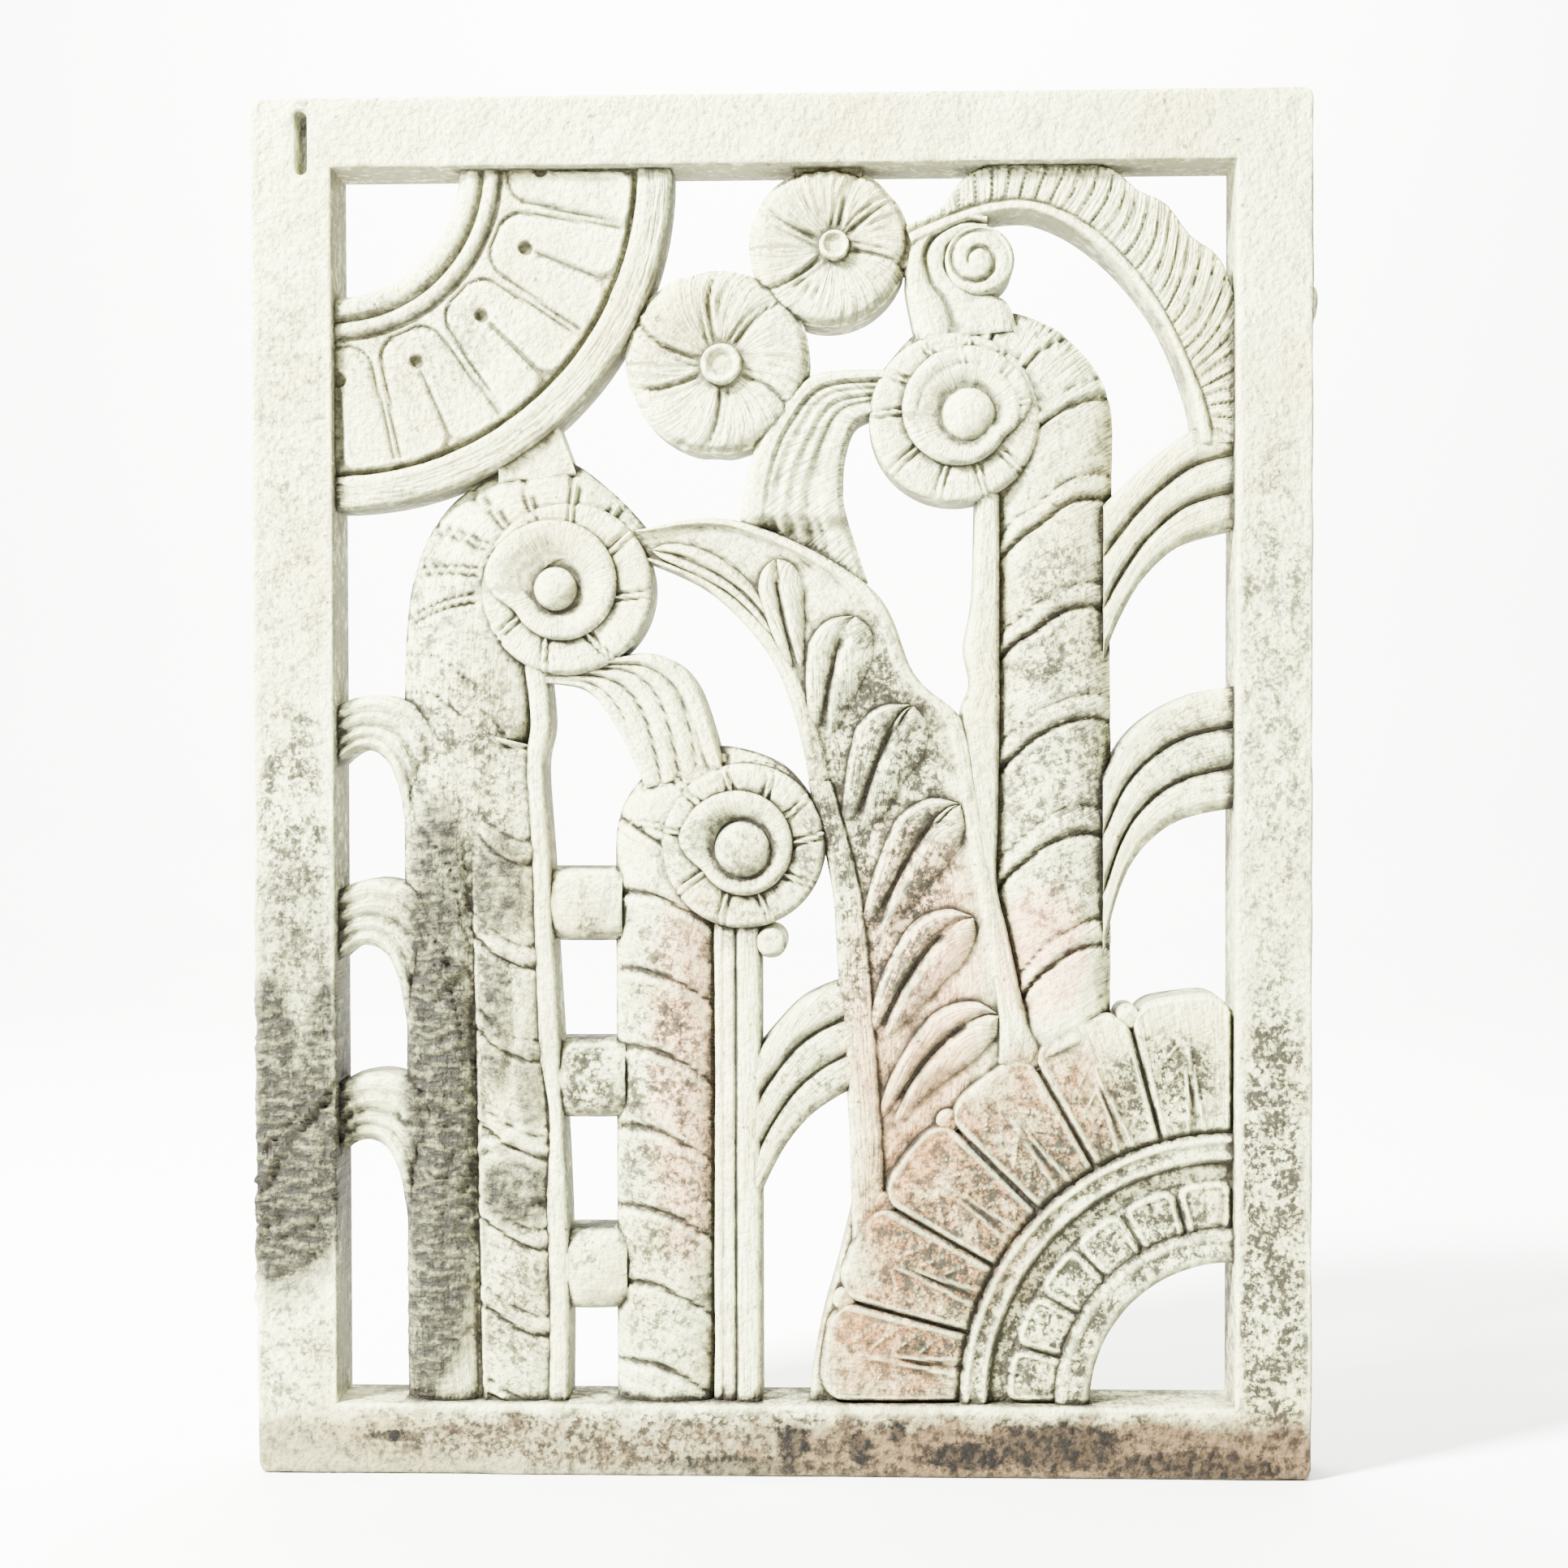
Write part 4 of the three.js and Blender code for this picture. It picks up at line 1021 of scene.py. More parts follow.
@dataclass(frozen=True)
class BigLeaf:
    """Big leaf: ground, stem strip, fingers and the curled upper lobe."""

    ground_left: Sequence[Point] = (
        (52, 170), (50, 240), (47, 300), (42, 365), (38, 430), (24, 490), (14, 540), (-2, 586), (-26, 619),
        (-58, 647), (-104, 668))
    ground_right: Sequence[Point] = (
        (100, 230), (184, 300), (180, 330), (166, 380), (154, 440), (144, 500), (133, 548), (98, 582), (66, 645),
        (-30, 694), (-104, 688))
    stem_left: Sequence[Point] = ((52, 170), (50, 240), (47, 300), (42, 365), (37, 430), (20, 505))
    stem_right: Sequence[Point] = ((78, 170), (75, 240), (71, 300), (66, 365), (58, 430), (38, 505))
    lobe_left: Sequence[Point] = ((-30, 660), (-28, 700), (-20, 740), (-4, 771), (24, 799), (76, 803))
    lobe_right: Sequence[Point] = ((64, 650), (48, 700), (46, 722), (48, 744), (56, 764), (76, 772))
    fingers: Sequence[tuple[Point, Point, Point, float, float]] = (
        ((8, 594), (-22, 664), (-92, 673), 22, 1.0), ((16, 582), (6, 628), (-2, 666), 34, 1.2),
        ((34, 530), (44, 580), (55, 624), 46, 1.35), ((58, 462), (78, 510), (97, 559), 48, 1.5),
        ((70, 385), (98, 440), (131, 487), 42, 1.7), ((74, 310), (98, 360), (140, 405), 40, 1.7),
        ((80, 246), (108, 302), (158, 334), 38, 1.7))

    def finger(self, base: Point, bend: Point, tip: Point, width: float, lap: float) -> bpy.types.Object:
        """Models one finger: a bent tongue with a rounded tip and a grooved middle.

        Args:
            base: Foot of its middle line.
            bend: Point that the middle line bends towards.
            tip: End of its middle line.
            width: Widest measure across.
            lap: How much wider its upper half is than its lower half.

        Returns:
            A closed solid that runs past the back of the panel.
        """
        share = np.linspace(0.0, 1.0, 25)
        corners = np.array([base, bend, tip], dtype=float)
        t = share[:, None]
        line = (1 - t) ** 2 * corners[0] + 2 * t * (1 - t) * corners[1] + t**2 * corners[2]
        way = 2 * (1 - t) * (corners[1] - corners[0]) + 2 * t * (corners[2] - corners[1])
        way = way / np.linalg.norm(way, axis=1)[:, None]
        tapered = 0.5 + 0.5 * np.minimum(1.0, share / 0.7)
        girth = np.sqrt(1.0 - 0.985 * np.maximum(0.0, (share - 0.7) / 0.3) ** 2) * tapered * width / 2
        aside = np.column_stack([-way[:, 1], way[:, 0]]) * girth[:, None]
        section = profile(((0, 33.5), (0.04, 38.4), (0.1, 41.6), (0.2, 42), (0.34, 40.4), (0.43, 36.4), (0.5, 40.8),
                           (0.58, 42.2), (0.75, 40.6), (0.9, 37.6), (1, 34.5)))
        droop = profile(((0, 7), (0.14, 3.4), (0.4, 0.4), (0.6, 0), (0.9, 0), (0.97, 0.8), (1, 3)))

        def rise(face: Face) -> np.ndarray:
            """Grooved tongue that dips at its foot and its tip."""
            share = face.v + 0.03 * np.sin(face.u * 5.0)
            open_end = soft((0.86 - face.u) / 0.1)
            level = section(share)
            filled = np.maximum(level, 41.4 * ridge(share - 0.43, 0.16))
            return level * open_end + filled * (1 - open_end) - droop(face.u) + 0.4 * grain(face.x, face.z, 8.0, 5.0)

        return Strip("finger", Edge(line + lap * aside), Edge(line - aside), rise, combed_along(0.7),
                     step_along=2.8, step_across=1.9, crowding=0.3).build()

    def build(self) -> list[bpy.types.Object]:
        """Models the pieces of the leaf."""
        ground = ((0, 36), (0.03, 39), (0.09, 39.8), (0.13, 36.6), (0.82, 36.8), (0.87, 37.8), (0.91, 41),
                  (0.97, 40.4), (1, 36.5))
        lobe = profile(((0, 36.5), (0.05, 40), (0.12, 41.4), (0.19, 41), (0.24, 38.6), (0.45, 39.4), (0.68, 38.4),
                        (0.74, 39.2), (0.8, 42), (0.93, 41.4), (1, 37)))

        def lobe_rise(face: Face) -> np.ndarray:
            """Rims along both edges and combed flutes between them."""
            between = soft((face.v - 0.22) / 0.06) * soft((0.74 - face.v) / 0.06)
            flutes = np.sin(face.v * 40.0 - face.along / 26.0 + 0.5 * grain(face.x, face.z, 18.0, 3.0))
            foot = 8.0 * soft((0.2 - face.u) / 0.07)
            return lobe(face.v) - foot + 1.0 * between * flutes + 0.35 * grain(face.x, face.z, 9.0, 4.0)

        def lobe_combing(face: Face) -> tuple[np.ndarray, np.ndarray, np.ndarray]:
            """Strokes fan out between the rims."""
            return face.along * 0.6 - face.across * 0.55, face.across, 0.9 * soft((face.v - 0.15) / 0.1)

        return [
            Strip("leaf", Edge(self.ground_left), Edge(self.ground_right), moulded(ground, 0.6), combed_along(0.4),
                  step_along=3.6, step_across=2.8, crowding=0.2).build(),
            Strip("leaf_stem", Edge(self.stem_left), Edge(self.stem_right), moulded(RIBBON, 0.5), combed_along(0.7),
                  step_along=3.4, step_across=2.2).build(),
            Strip("leaf_lobe", Edge(self.lobe_left), Edge(self.lobe_right), lobe_rise, lobe_combing,
                  step_along=2.2, step_across=2.0, crowding=0.2).build(),
            *[self.finger(*finger) for finger in self.fingers],
        ]


@dataclass(frozen=True)
class SmallLeaf:
    """Small leaf on the middle head: a rim and curved flutes."""

    left: Sequence[Point] = ((-172, 577), (-142, 571), (-125, 553), (-112, 530), (-98, 500))
    right: Sequence[Point] = ((-172, 588), (-126, 595), (-88, 597), (-60, 575), (-40, 515))

    def rise(self, face: Face) -> np.ndarray:
        """Height of the flutes between the plain inner edge and the raised rim."""
        base = profile(((0, 36), (0.06, 38.6), (0.3, 38.6), (0.7, 39.6), (0.79, 38.8), (0.85, 41.6), (0.95, 41.2),
                        (1, 37)))(face.v)
        share = face.v * 4.3 + 1.2 * face.u ** 2
        flute = 3.2 * (np.abs(np.sin(np.pi * share)) ** 0.7 - 0.6) * soft((0.79 - face.v) / 0.06)
        return base + flute * soft((face.u - 0.08) / 0.2) * soft((face.v - 0.05) / 0.1) + 0.3 * grain(
            face.x, face.z, 7.0, 2.0)

    def build(self) -> list[bpy.types.Object]:
        """Models the leaf."""
        return [Strip("small_leaf", Edge(self.left), Edge(self.right), self.rise, combed_along(0.4), step_along=2.6,
                      step_across=1.9, crowding=0.2).build()]


@dataclass(frozen=True)
class Feather:
    """Feather curving round the upper right corner, with a quill and slanted barbs."""

    inner: Sequence[Point] = (
        (97, 890), (130, 905), (155, 912), (182, 913), (208, 903), (232, 886), (252, 866), (270, 842), (282, 820),
        (291, 797), (298, 774), (302, 748))
    outer: Sequence[Point] = (
        (92, 906), (116, 918), (136, 942), (168, 953), (208, 953), (240, 946), (258, 931), (279, 920), (296, 898),
        (320, 876), (336, 815), (336, 748))
    barbs: float = 11.0

    def slant(self, face: Face) -> np.ndarray:
        """Place across the barbs, which sweep back as they leave the quill."""
        return face.along - 0.75 * face.across + 0.006 * face.across**2

    def rise(self, face: Face) -> np.ndarray:
        """Height of the quill and the barbs."""
        quill = profile(((0, 36), (2, 40.6), (5, 42.8), (8.5, 42.2), (11, 39), (15, 40.2), (26, 41), (60, 39.4)))
        rise = quill(face.across) - rounding(face.width - face.across, 3.0)
        on = soft((face.across - 11.0) / 4.0)
        wave = self.slant(face) / self.barbs + 0.12 * grain(face.x, face.z, 22.0, 4.0)
        share = wave - np.floor(wave)
        fine = np.sin(self.slant(face) * 1.55 + 1.5 * grain(face.x, face.z, 15.0, 6.0))
        barb = 1.5 * share**1.6 - 1.1 * ridge((share - np.round(share)) * self.barbs, 1.8)
        return rise + on * (barb + 0.45 * fine) + 0.3 * grain(face.x, face.z, 8.0, 2.0)

    def combing(self, face: Face) -> tuple[np.ndarray, np.ndarray, np.ndarray]:
        """Strokes follow the barbs."""
        return self.slant(face), face.across, soft((face.across - 10.0) / 4.0)

    def build(self) -> list[bpy.types.Object]:
        """Models the feather."""
        return [Strip("feather", Edge(self.inner), Edge(self.outer), self.rise, self.combing, step_along=1.8,
                      step_across=2.3, crowding=0.1).build()]


@dataclass(frozen=True)
class Volute:
    """Small volute on the right head: a stem that turns over into a coiled eye."""

    left: Sequence[Point] = ((100, 822), (94, 848), (91, 870), (95, 893), (110, 908), (132, 916), (150, 913))
    right: Sequence[Point] = ((172, 830), (163, 852), (140, 858), (122, 872), (122, 888), (132, 897), (150, 898))
    eye: Point = (142.0, 881.0)

    def eye_rise(self, face: Face) -> np.ndarray:
        """Height of the eye: a groove that winds in by two turns."""
        r, degrees = face.polar((143.0, 880.0))
        wound = (r - 5.0 + 12.6 * ((degrees - 200.0) % 360.0) / 360.0) / 12.6
        share = wound - np.round(wound)
        groove = ridge(share * 12.6, 3.2) * soft((r - 4.0) / 3.0) * soft((24.5 - r) / 3.0)
        return 44.8 + 1.4 * soft((20 - r) / 20) - rounding(face.width - face.across, 5.0) - 3.6 * groove

    def build(self) -> list[bpy.types.Object]:
        """Models the stem and the eye."""
        stem = ((0, 35), (0.06, 39.4), (0.16, 42), (0.27, 42), (0.33, 40), (0.39, 37.4), (0.47, 40), (0.58, 42),
                (0.8, 41.4), (0.94, 39.6), (1, 37))
        return [
            Strip("volute_stem", Edge(self.left), Edge(self.right), moulded(stem), combed_along(0.3), step_along=2.4,
                  step_across=1.8, crowding=0.1).build(),
            Disc("volute_eye", self.eye, lambda degrees: 25 + 3 * np.cos(np.radians(degrees + 20)), self.eye_rise,
                 spokes=100, rings=20).build(),
        ]


@dataclass(frozen=True)
class Beads:
    """Rounded beads that bridge the left ribbon and the middle column."""

    places: Sequence[tuple[float, float, float, float]] = (
        (-143, 415, 54, 54), (-140, 287, 52, 58), (-138, 147, 50, 60))

    def build(self) -> list[bpy.types.Object]:
        """Models the beads."""
        crown = profile(((0, 26), (0.05, 31.5), (0.14, 36), (0.32, 40), (0.5, 41.2), (0.68, 40), (0.86, 36), (0.95, 31.5),
                         (1, 26)))

        def rise(face: Face) -> np.ndarray:
            """Barrel that is fullest in the middle."""
            return crown(face.u) - 3.5 * (2 * face.v - 1) ** 2 + 1.0 * grain(face.x, face.z, 12.0, 3.0)

        made = []
        for x, z, wide, tall in self.places:
            left = [(x - wide / 2, z + share * tall) for share in (-0.5, 0.0, 0.5)]
            right = [(x + wide / 2, z + share * tall) for share in (-0.5, 0.0, 0.5)]
            made.append(Strip("bead", Edge(left), Edge(right), rise, combed_across(0.3), step_along=2.2,
                              step_across=3.0).build())
        return made


@dataclass(frozen=True)
class Webs:
    """Low webs that tie neighbouring ornaments together."""

    plates: Sequence[tuple[Sequence[Point], Sequence[Point], float]] = (
        (((-205, 722), (-148, 728)), ((-205, 752), (-162, 766)), 36.5),
        (((52, 194), (40, 146), (30, 110), (22, 66), (20, 40)),
         ((110, 194), (104, 146), (100, 110), (94, 66), (92, 40)), 34.0),
        (((-6, 836), (14, 846)), ((-14, 872), (20, 884)), 37.0),
        (((12, 930), (60, 930)), ((12, 954), (60, 954)), 37.0),
        (((84, 876), (100, 876)), ((80, 906), (104, 908)), 38.0))

    def build(self) -> list[bpy.types.Object]:
        """Models the webs."""

        def rise(level: float) -> Rise:
            """Nearly flat face with softened edges."""
            return lambda face: level - rounding(face.to_edge(), 2.5) + 0.5 * grain(face.x, face.z, 9.0, 1.0)

        return [Strip("web", Edge(low), Edge(high), rise(level), step_along=4.0, step_across=4.0).build()
                for low, high, level in self.plates]


@dataclass
class Socket:
    """Output of a shader node; arithmetic on it adds Math nodes."""

    sheet: "NodeSheet"
    link: bpy.types.NodeSocket

    def _math(self, operation: str, first: "Socket | float", second: "Socket | float") -> "Socket":
        """Adds a Math node for two values."""
        return self.sheet.node("ShaderNodeMath", {"operation": operation}, {0: first, 1: second})

    def __add__(self, other: "Socket | float") -> "Socket":
        """Sum."""
        return self._math("ADD", self, other)

    def __radd__(self, other: float) -> "Socket":
        """Sum from the left."""
        return self._math("ADD", other, self)

    def __sub__(self, other: "Socket | float") -> "Socket":
        """Difference."""
        return self._math("SUBTRACT", self, other)

    def __rsub__(self, other: float) -> "Socket":
        """Difference from the left."""
        return self._math("SUBTRACT", other, self)

    def __mul__(self, other: "Socket | float") -> "Socket":
        """Product."""
        return self._math("MULTIPLY", self, other)

    def __rmul__(self, other: float) -> "Socket":
        """Product from the left."""
        return self._math("MULTIPLY", other, self)

    def __truediv__(self, other: "Socket | float") -> "Socket":
        """Quotient."""
        return self._math("DIVIDE", self, other)

    def __pow__(self, other: "Socket | float") -> "Socket":
        """Power."""
        return self._math("POWER", self, other)

    def clip(self) -> "Socket":
        """Value held between 0 and 1."""
        return self.sheet.node("ShaderNodeClamp", {}, {"Value": self})

    def most(self, other: "Socket | float") -> "Socket":
        """Larger of two values."""
        return self._math("MAXIMUM", self, other)

    def between(self, low: float, high: float) -> "Socket":
        """Eased share of the way from a low to a high value."""
        return self.sheet.node("ShaderNodeMapRange", {"interpolation_type": "SMOOTHSTEP"},
                               {"Value": self, "From Min": low, "From Max": high})


@dataclass
class NodeSheet:
    """Node tree of a material."""

    tree: bpy.types.NodeTree

    def node(self, kind: str, settings: dict, inputs: dict, output: int | str | None = 0) -> Socket | None:
        """Adds a node.

        Args:
            kind: Type of the node.
            settings: Its properties, set before its sockets.
            inputs: Values or links of its sockets.
            output: Socket that is handed back, or None for a node that ends the tree.

        Returns:
            One output of the node, if it has any.
        """
        made = self.tree.nodes.new(kind)
        for name, value in settings.items():
            setattr(made, name, value)
        for name, value in inputs.items():
            if isinstance(value, Socket):
                self.tree.links.new(value.link, made.inputs[name])
            else:
                made.inputs[name].default_value = value
        return None if output is None else Socket(self, made.outputs[output])

    def noise(self, place: Socket, scale: float, detail: float = 3.0, roughness: float = 0.55) -> Socket:
        """Cloudy noise between 0 and 1."""
        return self.node("ShaderNodeTexNoise", {"noise_dimensions": "3D"},
                         {"Vector": place, "Scale": scale, "Detail": detail, "Roughness": roughness})

    def blend(self, share: Socket, under: "Socket | tuple", over: "Socket | tuple", way: str = "MIX") -> Socket:
        """Mixes two colours."""
        return self.node("ShaderNodeMix", {"data_type": "RGBA", "blend_type": way},
                         {0: share, 6: under, 7: over}, 2)


def tint(red: int, green: int, blue: int) -> tuple[float, float, float, float]:
    """Linear colour from display values of 0 to 255."""

    def linear(value: int) -> float:
        """One channel."""
        share = value / 255
        return share / 12.92 if share <= 0.04045 else ((share + 0.055) / 1.055) ** 2.4

    return linear(red), linear(green), linear(blue), 1.0


@dataclass(frozen=True)
class WeatheredConcreteAndPaintedShade:
    """Finish of the casting: pale concrete with lichen, soot and painted shade in the hollows, painted shade on the
    sides turned from the light, rims paled for wear and painted highlight, mortar smears and pink limewash.

    Every area is an oval on the face: middle across, middle up, half width, half height and strength.
    """

    pale: tuple = tint(237, 242, 186)
    cream: tuple = tint(222, 219, 160)
    olive: tuple = tint(120, 120, 86)
    lichen_and_shade: tuple = tint(52, 50, 37)
    soot_and_shade: tuple = tint(36, 33, 24)
    mortar: tuple = tint(40, 39, 31)
    pink: tuple = tint(228, 166, 126)
    earth: tuple = tint(164, 114, 68)
    clay: tuple = tint(84, 59, 37)
    dust: tuple = tint(104, 85, 58)
    mud: tuple = tint(42, 33, 21)
    damp: tuple = tint(14, 11, 7)
    rust_and_shade_brown: tuple = tint(52, 31, 17)
    roughness: float = 0.92
    grimy: Sequence[Area] = (
        (355, 180, 40, 240, 1.0), (355, 560, 40, 230, 0.6), (-355, 420, 40, 200, 0.8), (-355, 700, 40, 220, 0.4),
        (-235, 420, 62, 250, 0.8), (-270, 640, 40, 90, 0.6), (200, 540, 48, 190, 0.75), (-85, 240, 46, 230, 0.75),
        (-140, 280, 22, 170, 0.9), (70, 470, 70, 190, 0.9), (200, 150, 170, 150, 0.9), (275, 285, 52, 46, 1.0),
        (-40, 440, 70, 70, 0.5),
        (290, 520, 45, 60, 0.5), (0, 30, 420, 34, 0.9), (20, 270, 40, 60, 0.6), (-270, 830, 70, 60, 0.45),
        (-355, 90, 40, 60, 0.6), (200, 740, 40, 70, 0.35), (-195, 120, 30, 90, 0.7))
    smeared: Sequence[Area] = (
        (-366, 210, 52, 92, 1.0), (-345, 230, 44, 100, 1.0), (-375, 300, 30, 80, 0.9), (-330, 310, 22, 70, 0.8),
        (-360, 390, 40, 80, 0.35), (-250, 190, 34, 150, 0.95), (-250, 300, 34, 130, 1.0), (-252, 420, 28, 90, 0.85),
        (-196, 205, 30, 32, 0.8), (-208, 330, 14, 60, 0.7), (-184, 290, 12, 50, 0.6), (-205, 430, 24, 44, 0.7),
        (-262, 100, 26, 60, 0.9))
    limewashed: Sequence[Area] = (
        (-68, 290, 32, 160, 0.8), (98, 350, 58, 150, 0.85), (190, 380, 40, 56, 0.85))
    earthy: Sequence[Area] = (
        (120, 190, 86, 100, 1.0), (196, 262, 62, 66, 0.85), (80, 96, 66, 62, 1.0), (90, 290, 40, 50, 0.6))
    wet: Sequence[Area] = (
        (8, 25, 14, 17, 1.0), (57, 22, 10, 14, 1.0), (85, 33, 7, 7, 1.0), (135, 16, 34, 12, 1.0),
        (290, 10, 80, 12, 0.8), (200, 24, 60, 20, 0.9), (-30, 8, 70, 8, 0.7), (-278, 28, 24, 5, 1.0))
    slot_rust_and_shade: Sequence[Area] = ((-345.7, 984, 7, 10, 1.0), (-344, 996, 5, 4, 0.7))

    def share_of(self, areas: Sequence[Area], x: np.ndarray, z: np.ndarray) -> np.ndarray:
        """Strength of the strongest of several areas at places on the face.

        Args:
            areas: Soft ovals.
            x: Places across.
            z: Places up.

        Returns:
            Share from 0 to 1 at each place.
        """
        share = np.zeros_like(x)
        for at_x, at_z, half_x, half_z, strength in areas:
            inside = 1.15 - ((x - at_x) / half_x) ** 2 - ((z - at_z) / half_z) ** 2
            share = np.maximum(share, strength * soft(inside / 0.9))
        return share

    def material(self) -> bpy.types.Material:
        """Makes the material.

        Returns:
            A node material that reads Object coordinates and the attributes of the casting.
        """
        made = bpy.data.materials.new("weathered_concrete_and_painted_shade")
        made.use_nodes = True
        made.node_tree.nodes.clear()
        sheet = NodeSheet(made.node_tree)
        place = sheet.node("ShaderNodeTexCoord", {}, {}, "Object")
        x = sheet.node("ShaderNodeSeparateXYZ", {}, {"Vector": place}, "X")
        z = sheet.node("ShaderNodeSeparateXYZ", {}, {"Vector": place}, "Z")
        cloud = sheet.noise(place, 9.0, 3.0, 0.6)
        patch = sheet.noise(place, 38.0, 4.0, 0.66)
        speck = sheet.noise(place, 115.0, 4.0, 0.7)
        fleck = sheet.noise(place, 270.0, 3.0, 0.66)

        def stored(name: str) -> Socket:
            """Share that the casting carries at its corners."""
            return sheet.node("ShaderNodeAttribute", {"attribute_name": name}, {}, "Fac")

        def ragged(share: Socket, by: float = 1.8) -> Socket:
            """The share with a broken edge."""
            return (share * (1.0 + (patch - 0.5) * by + (speck - 0.5) * by)).clip()

        def spot(at_x: float, at_z: float, half_x: float, half_z: float, strength: float) -> Socket:
            """Small soft oval on the face."""
            aside = (x - at_x * MM) / (half_x * MM)
            above = (z - at_z * MM) / (half_z * MM)
            return (1.15 - aside * aside - above * above + (speck - 0.5) * 1.6).between(0.0, 0.7) * strength

        def spots(areas: Sequence[Area]) -> Socket:
            """Several small ovals as one mask."""
            whole = spot(*areas[0])
            for area in areas[1:]:
                whole = whole.most(spot(*area))
            return whole

        grime = ragged(stored("grime"), 1.2)
        colour = sheet.blend(cloud.between(0.4, 0.66), self.pale, self.cream)
        worn = (fleck * 0.55 + speck * 0.45).between(0.44, 0.64)
        colour = sheet.blend(worn * 0.3, colour, self.olive)
        colour = sheet.blend(grime * (0.18 + patch.between(0.4, 0.62) * 0.42), colour, self.olive)
        colour = sheet.blend(ragged(stored("limewash")) * 0.72, colour, self.pink)
        soil = sheet.blend(speck.between(0.4, 0.62), self.earth, self.clay)
        earthen = ragged(stored("earth"))
        colour = sheet.blend(earthen * 0.95, colour, soil)
        growth = (patch * 0.2 + speck * 0.32 + fleck * 0.48 + grime * 0.08).between(0.52, 0.62)
        colour = sheet.blend(growth * (0.22 + grime * 0.78), colour, self.lichen_and_shade)

        foot = (0.054 - z + (patch - 0.5) * 0.03).between(0.0, 0.02)
        mire = sheet.blend(speck.between(0.4, 0.62), self.dust, self.mud)
        colour = sheet.blend(foot * (0.72 + (x + 0.1).between(0.0, 0.2) * 0.28), colour, mire)
        colour = sheet.blend(spots(self.wet) * (0.8 + speck.between(0.42, 0.58) * 0.2), colour, self.damp)

        smear = stored("smear")
        ripple_place = sheet.node("ShaderNodeCombineXYZ", {}, {"X": x * 60.0, "Y": z * 170.0})
        ripple = sheet.noise(ripple_place, 1.0, 2.0, 0.45)
        cement = sheet.blend((ripple * 0.6 + fleck * 0.4).between(0.46, 0.68), self.mortar, self.olive)
        colour = sheet.blend(ragged(smear * 1.25, 1.2), colour, cement)
        # Dark brown at the top of the hanging slot: rust, and painted shade inside the slot's upper walls.
        colour = sheet.blend(spots(self.slot_rust_and_shade) * 0.9, colour, self.rust_and_shade_brown)

        # Crests paled: edge wear and a painted highlight on raised rims.
        worn_and_highlit = (stored("crest") * (1.0 + (speck - 0.5) * 2.0)).clip() * (1.0 - smear.most(foot))
        colour = sheet.blend(worn_and_highlit * (1.0 - earthen * 0.4) * 0.74, colour, self.pale)
        # Painted shade: low places, steep sides and sides facing down and to the right, away from the key lamp,
        # darkened towards the lichen colour.
        painted_shade_share = (stored("painted_shade") * (1.1 + (speck - 0.5) * 2.2 + (patch - 0.5) * 1.6)).clip()
        colour = sheet.blend(painted_shade_share * 0.86, colour, self.lichen_and_shade)
        holes = sheet.node("ShaderNodeTexVoronoi", {"feature": "F1"}, {"Vector": place, "Scale": 88.0}, "Distance")
        pitted = (0.06 - holes + (speck - 0.5) * 0.9 + (cloud - 0.5) * 0.5).between(0.0, 0.06)
        # Grooves and low places darkened towards the soot colour, both soot and painted shade, less so towards the top;
        # the pits are mixed in with it.
        less_towards_top = 1.0 - (z - 0.6).between(0.0, 0.2) * 0.2
        soot_and_hollow_shade = (stored("hollow") * (1.25 + (patch - 0.5) * 1.4)).clip() * less_towards_top
        colour = sheet.blend((soot_and_hollow_shade * 0.95).most(pitted * 0.65), colour, self.soot_and_shade)

        combing = sheet.node("ShaderNodeAttribute", {"attribute_name": "combing"}, {}, "Vector")
        across = sheet.node("ShaderNodeSeparateXYZ", {}, {"Vector": combing}, "X")
        along = sheet.node("ShaderNodeSeparateXYZ", {}, {"Vector": combing}, "Y")
        strength = sheet.node("ShaderNodeSeparateXYZ", {}, {"Vector": combing}, "Z")
        stroke_place = sheet.node("ShaderNodeCombineXYZ", {}, {"X": across * 0.42, "Y": along * 0.035})
        stroke = sheet.noise(stroke_place, 1.0, 2.0, 0.5)
        colour = sheet.blend(strength * stroke.between(0.5, 0.66) * 0.5, colour, self.lichen_and_shade)
        crumb = sheet.noise(place, 230.0, 3.0, 0.55)
        swell = sheet.noise(place, 45.0, 2.0, 0.6)
        relief = stroke * strength * 1.7 + crumb * 1.2 + swell * 1.8 + smear * (ripple * 3.4 + crumb * 0.8)
        bump = sheet.node("ShaderNodeBump", {}, {"Strength": 1.0, "Distance": 0.0028, "Height": relief})
        shader = sheet.node("ShaderNodeBsdfPrincipled", {}, {
            "Base Color": colour, "Roughness": self.roughness, "Normal": bump, "Specular IOR Level": 0.25})
        sheet.node("ShaderNodeOutputMaterial", {}, {"Surface": shader}, None)
        return made


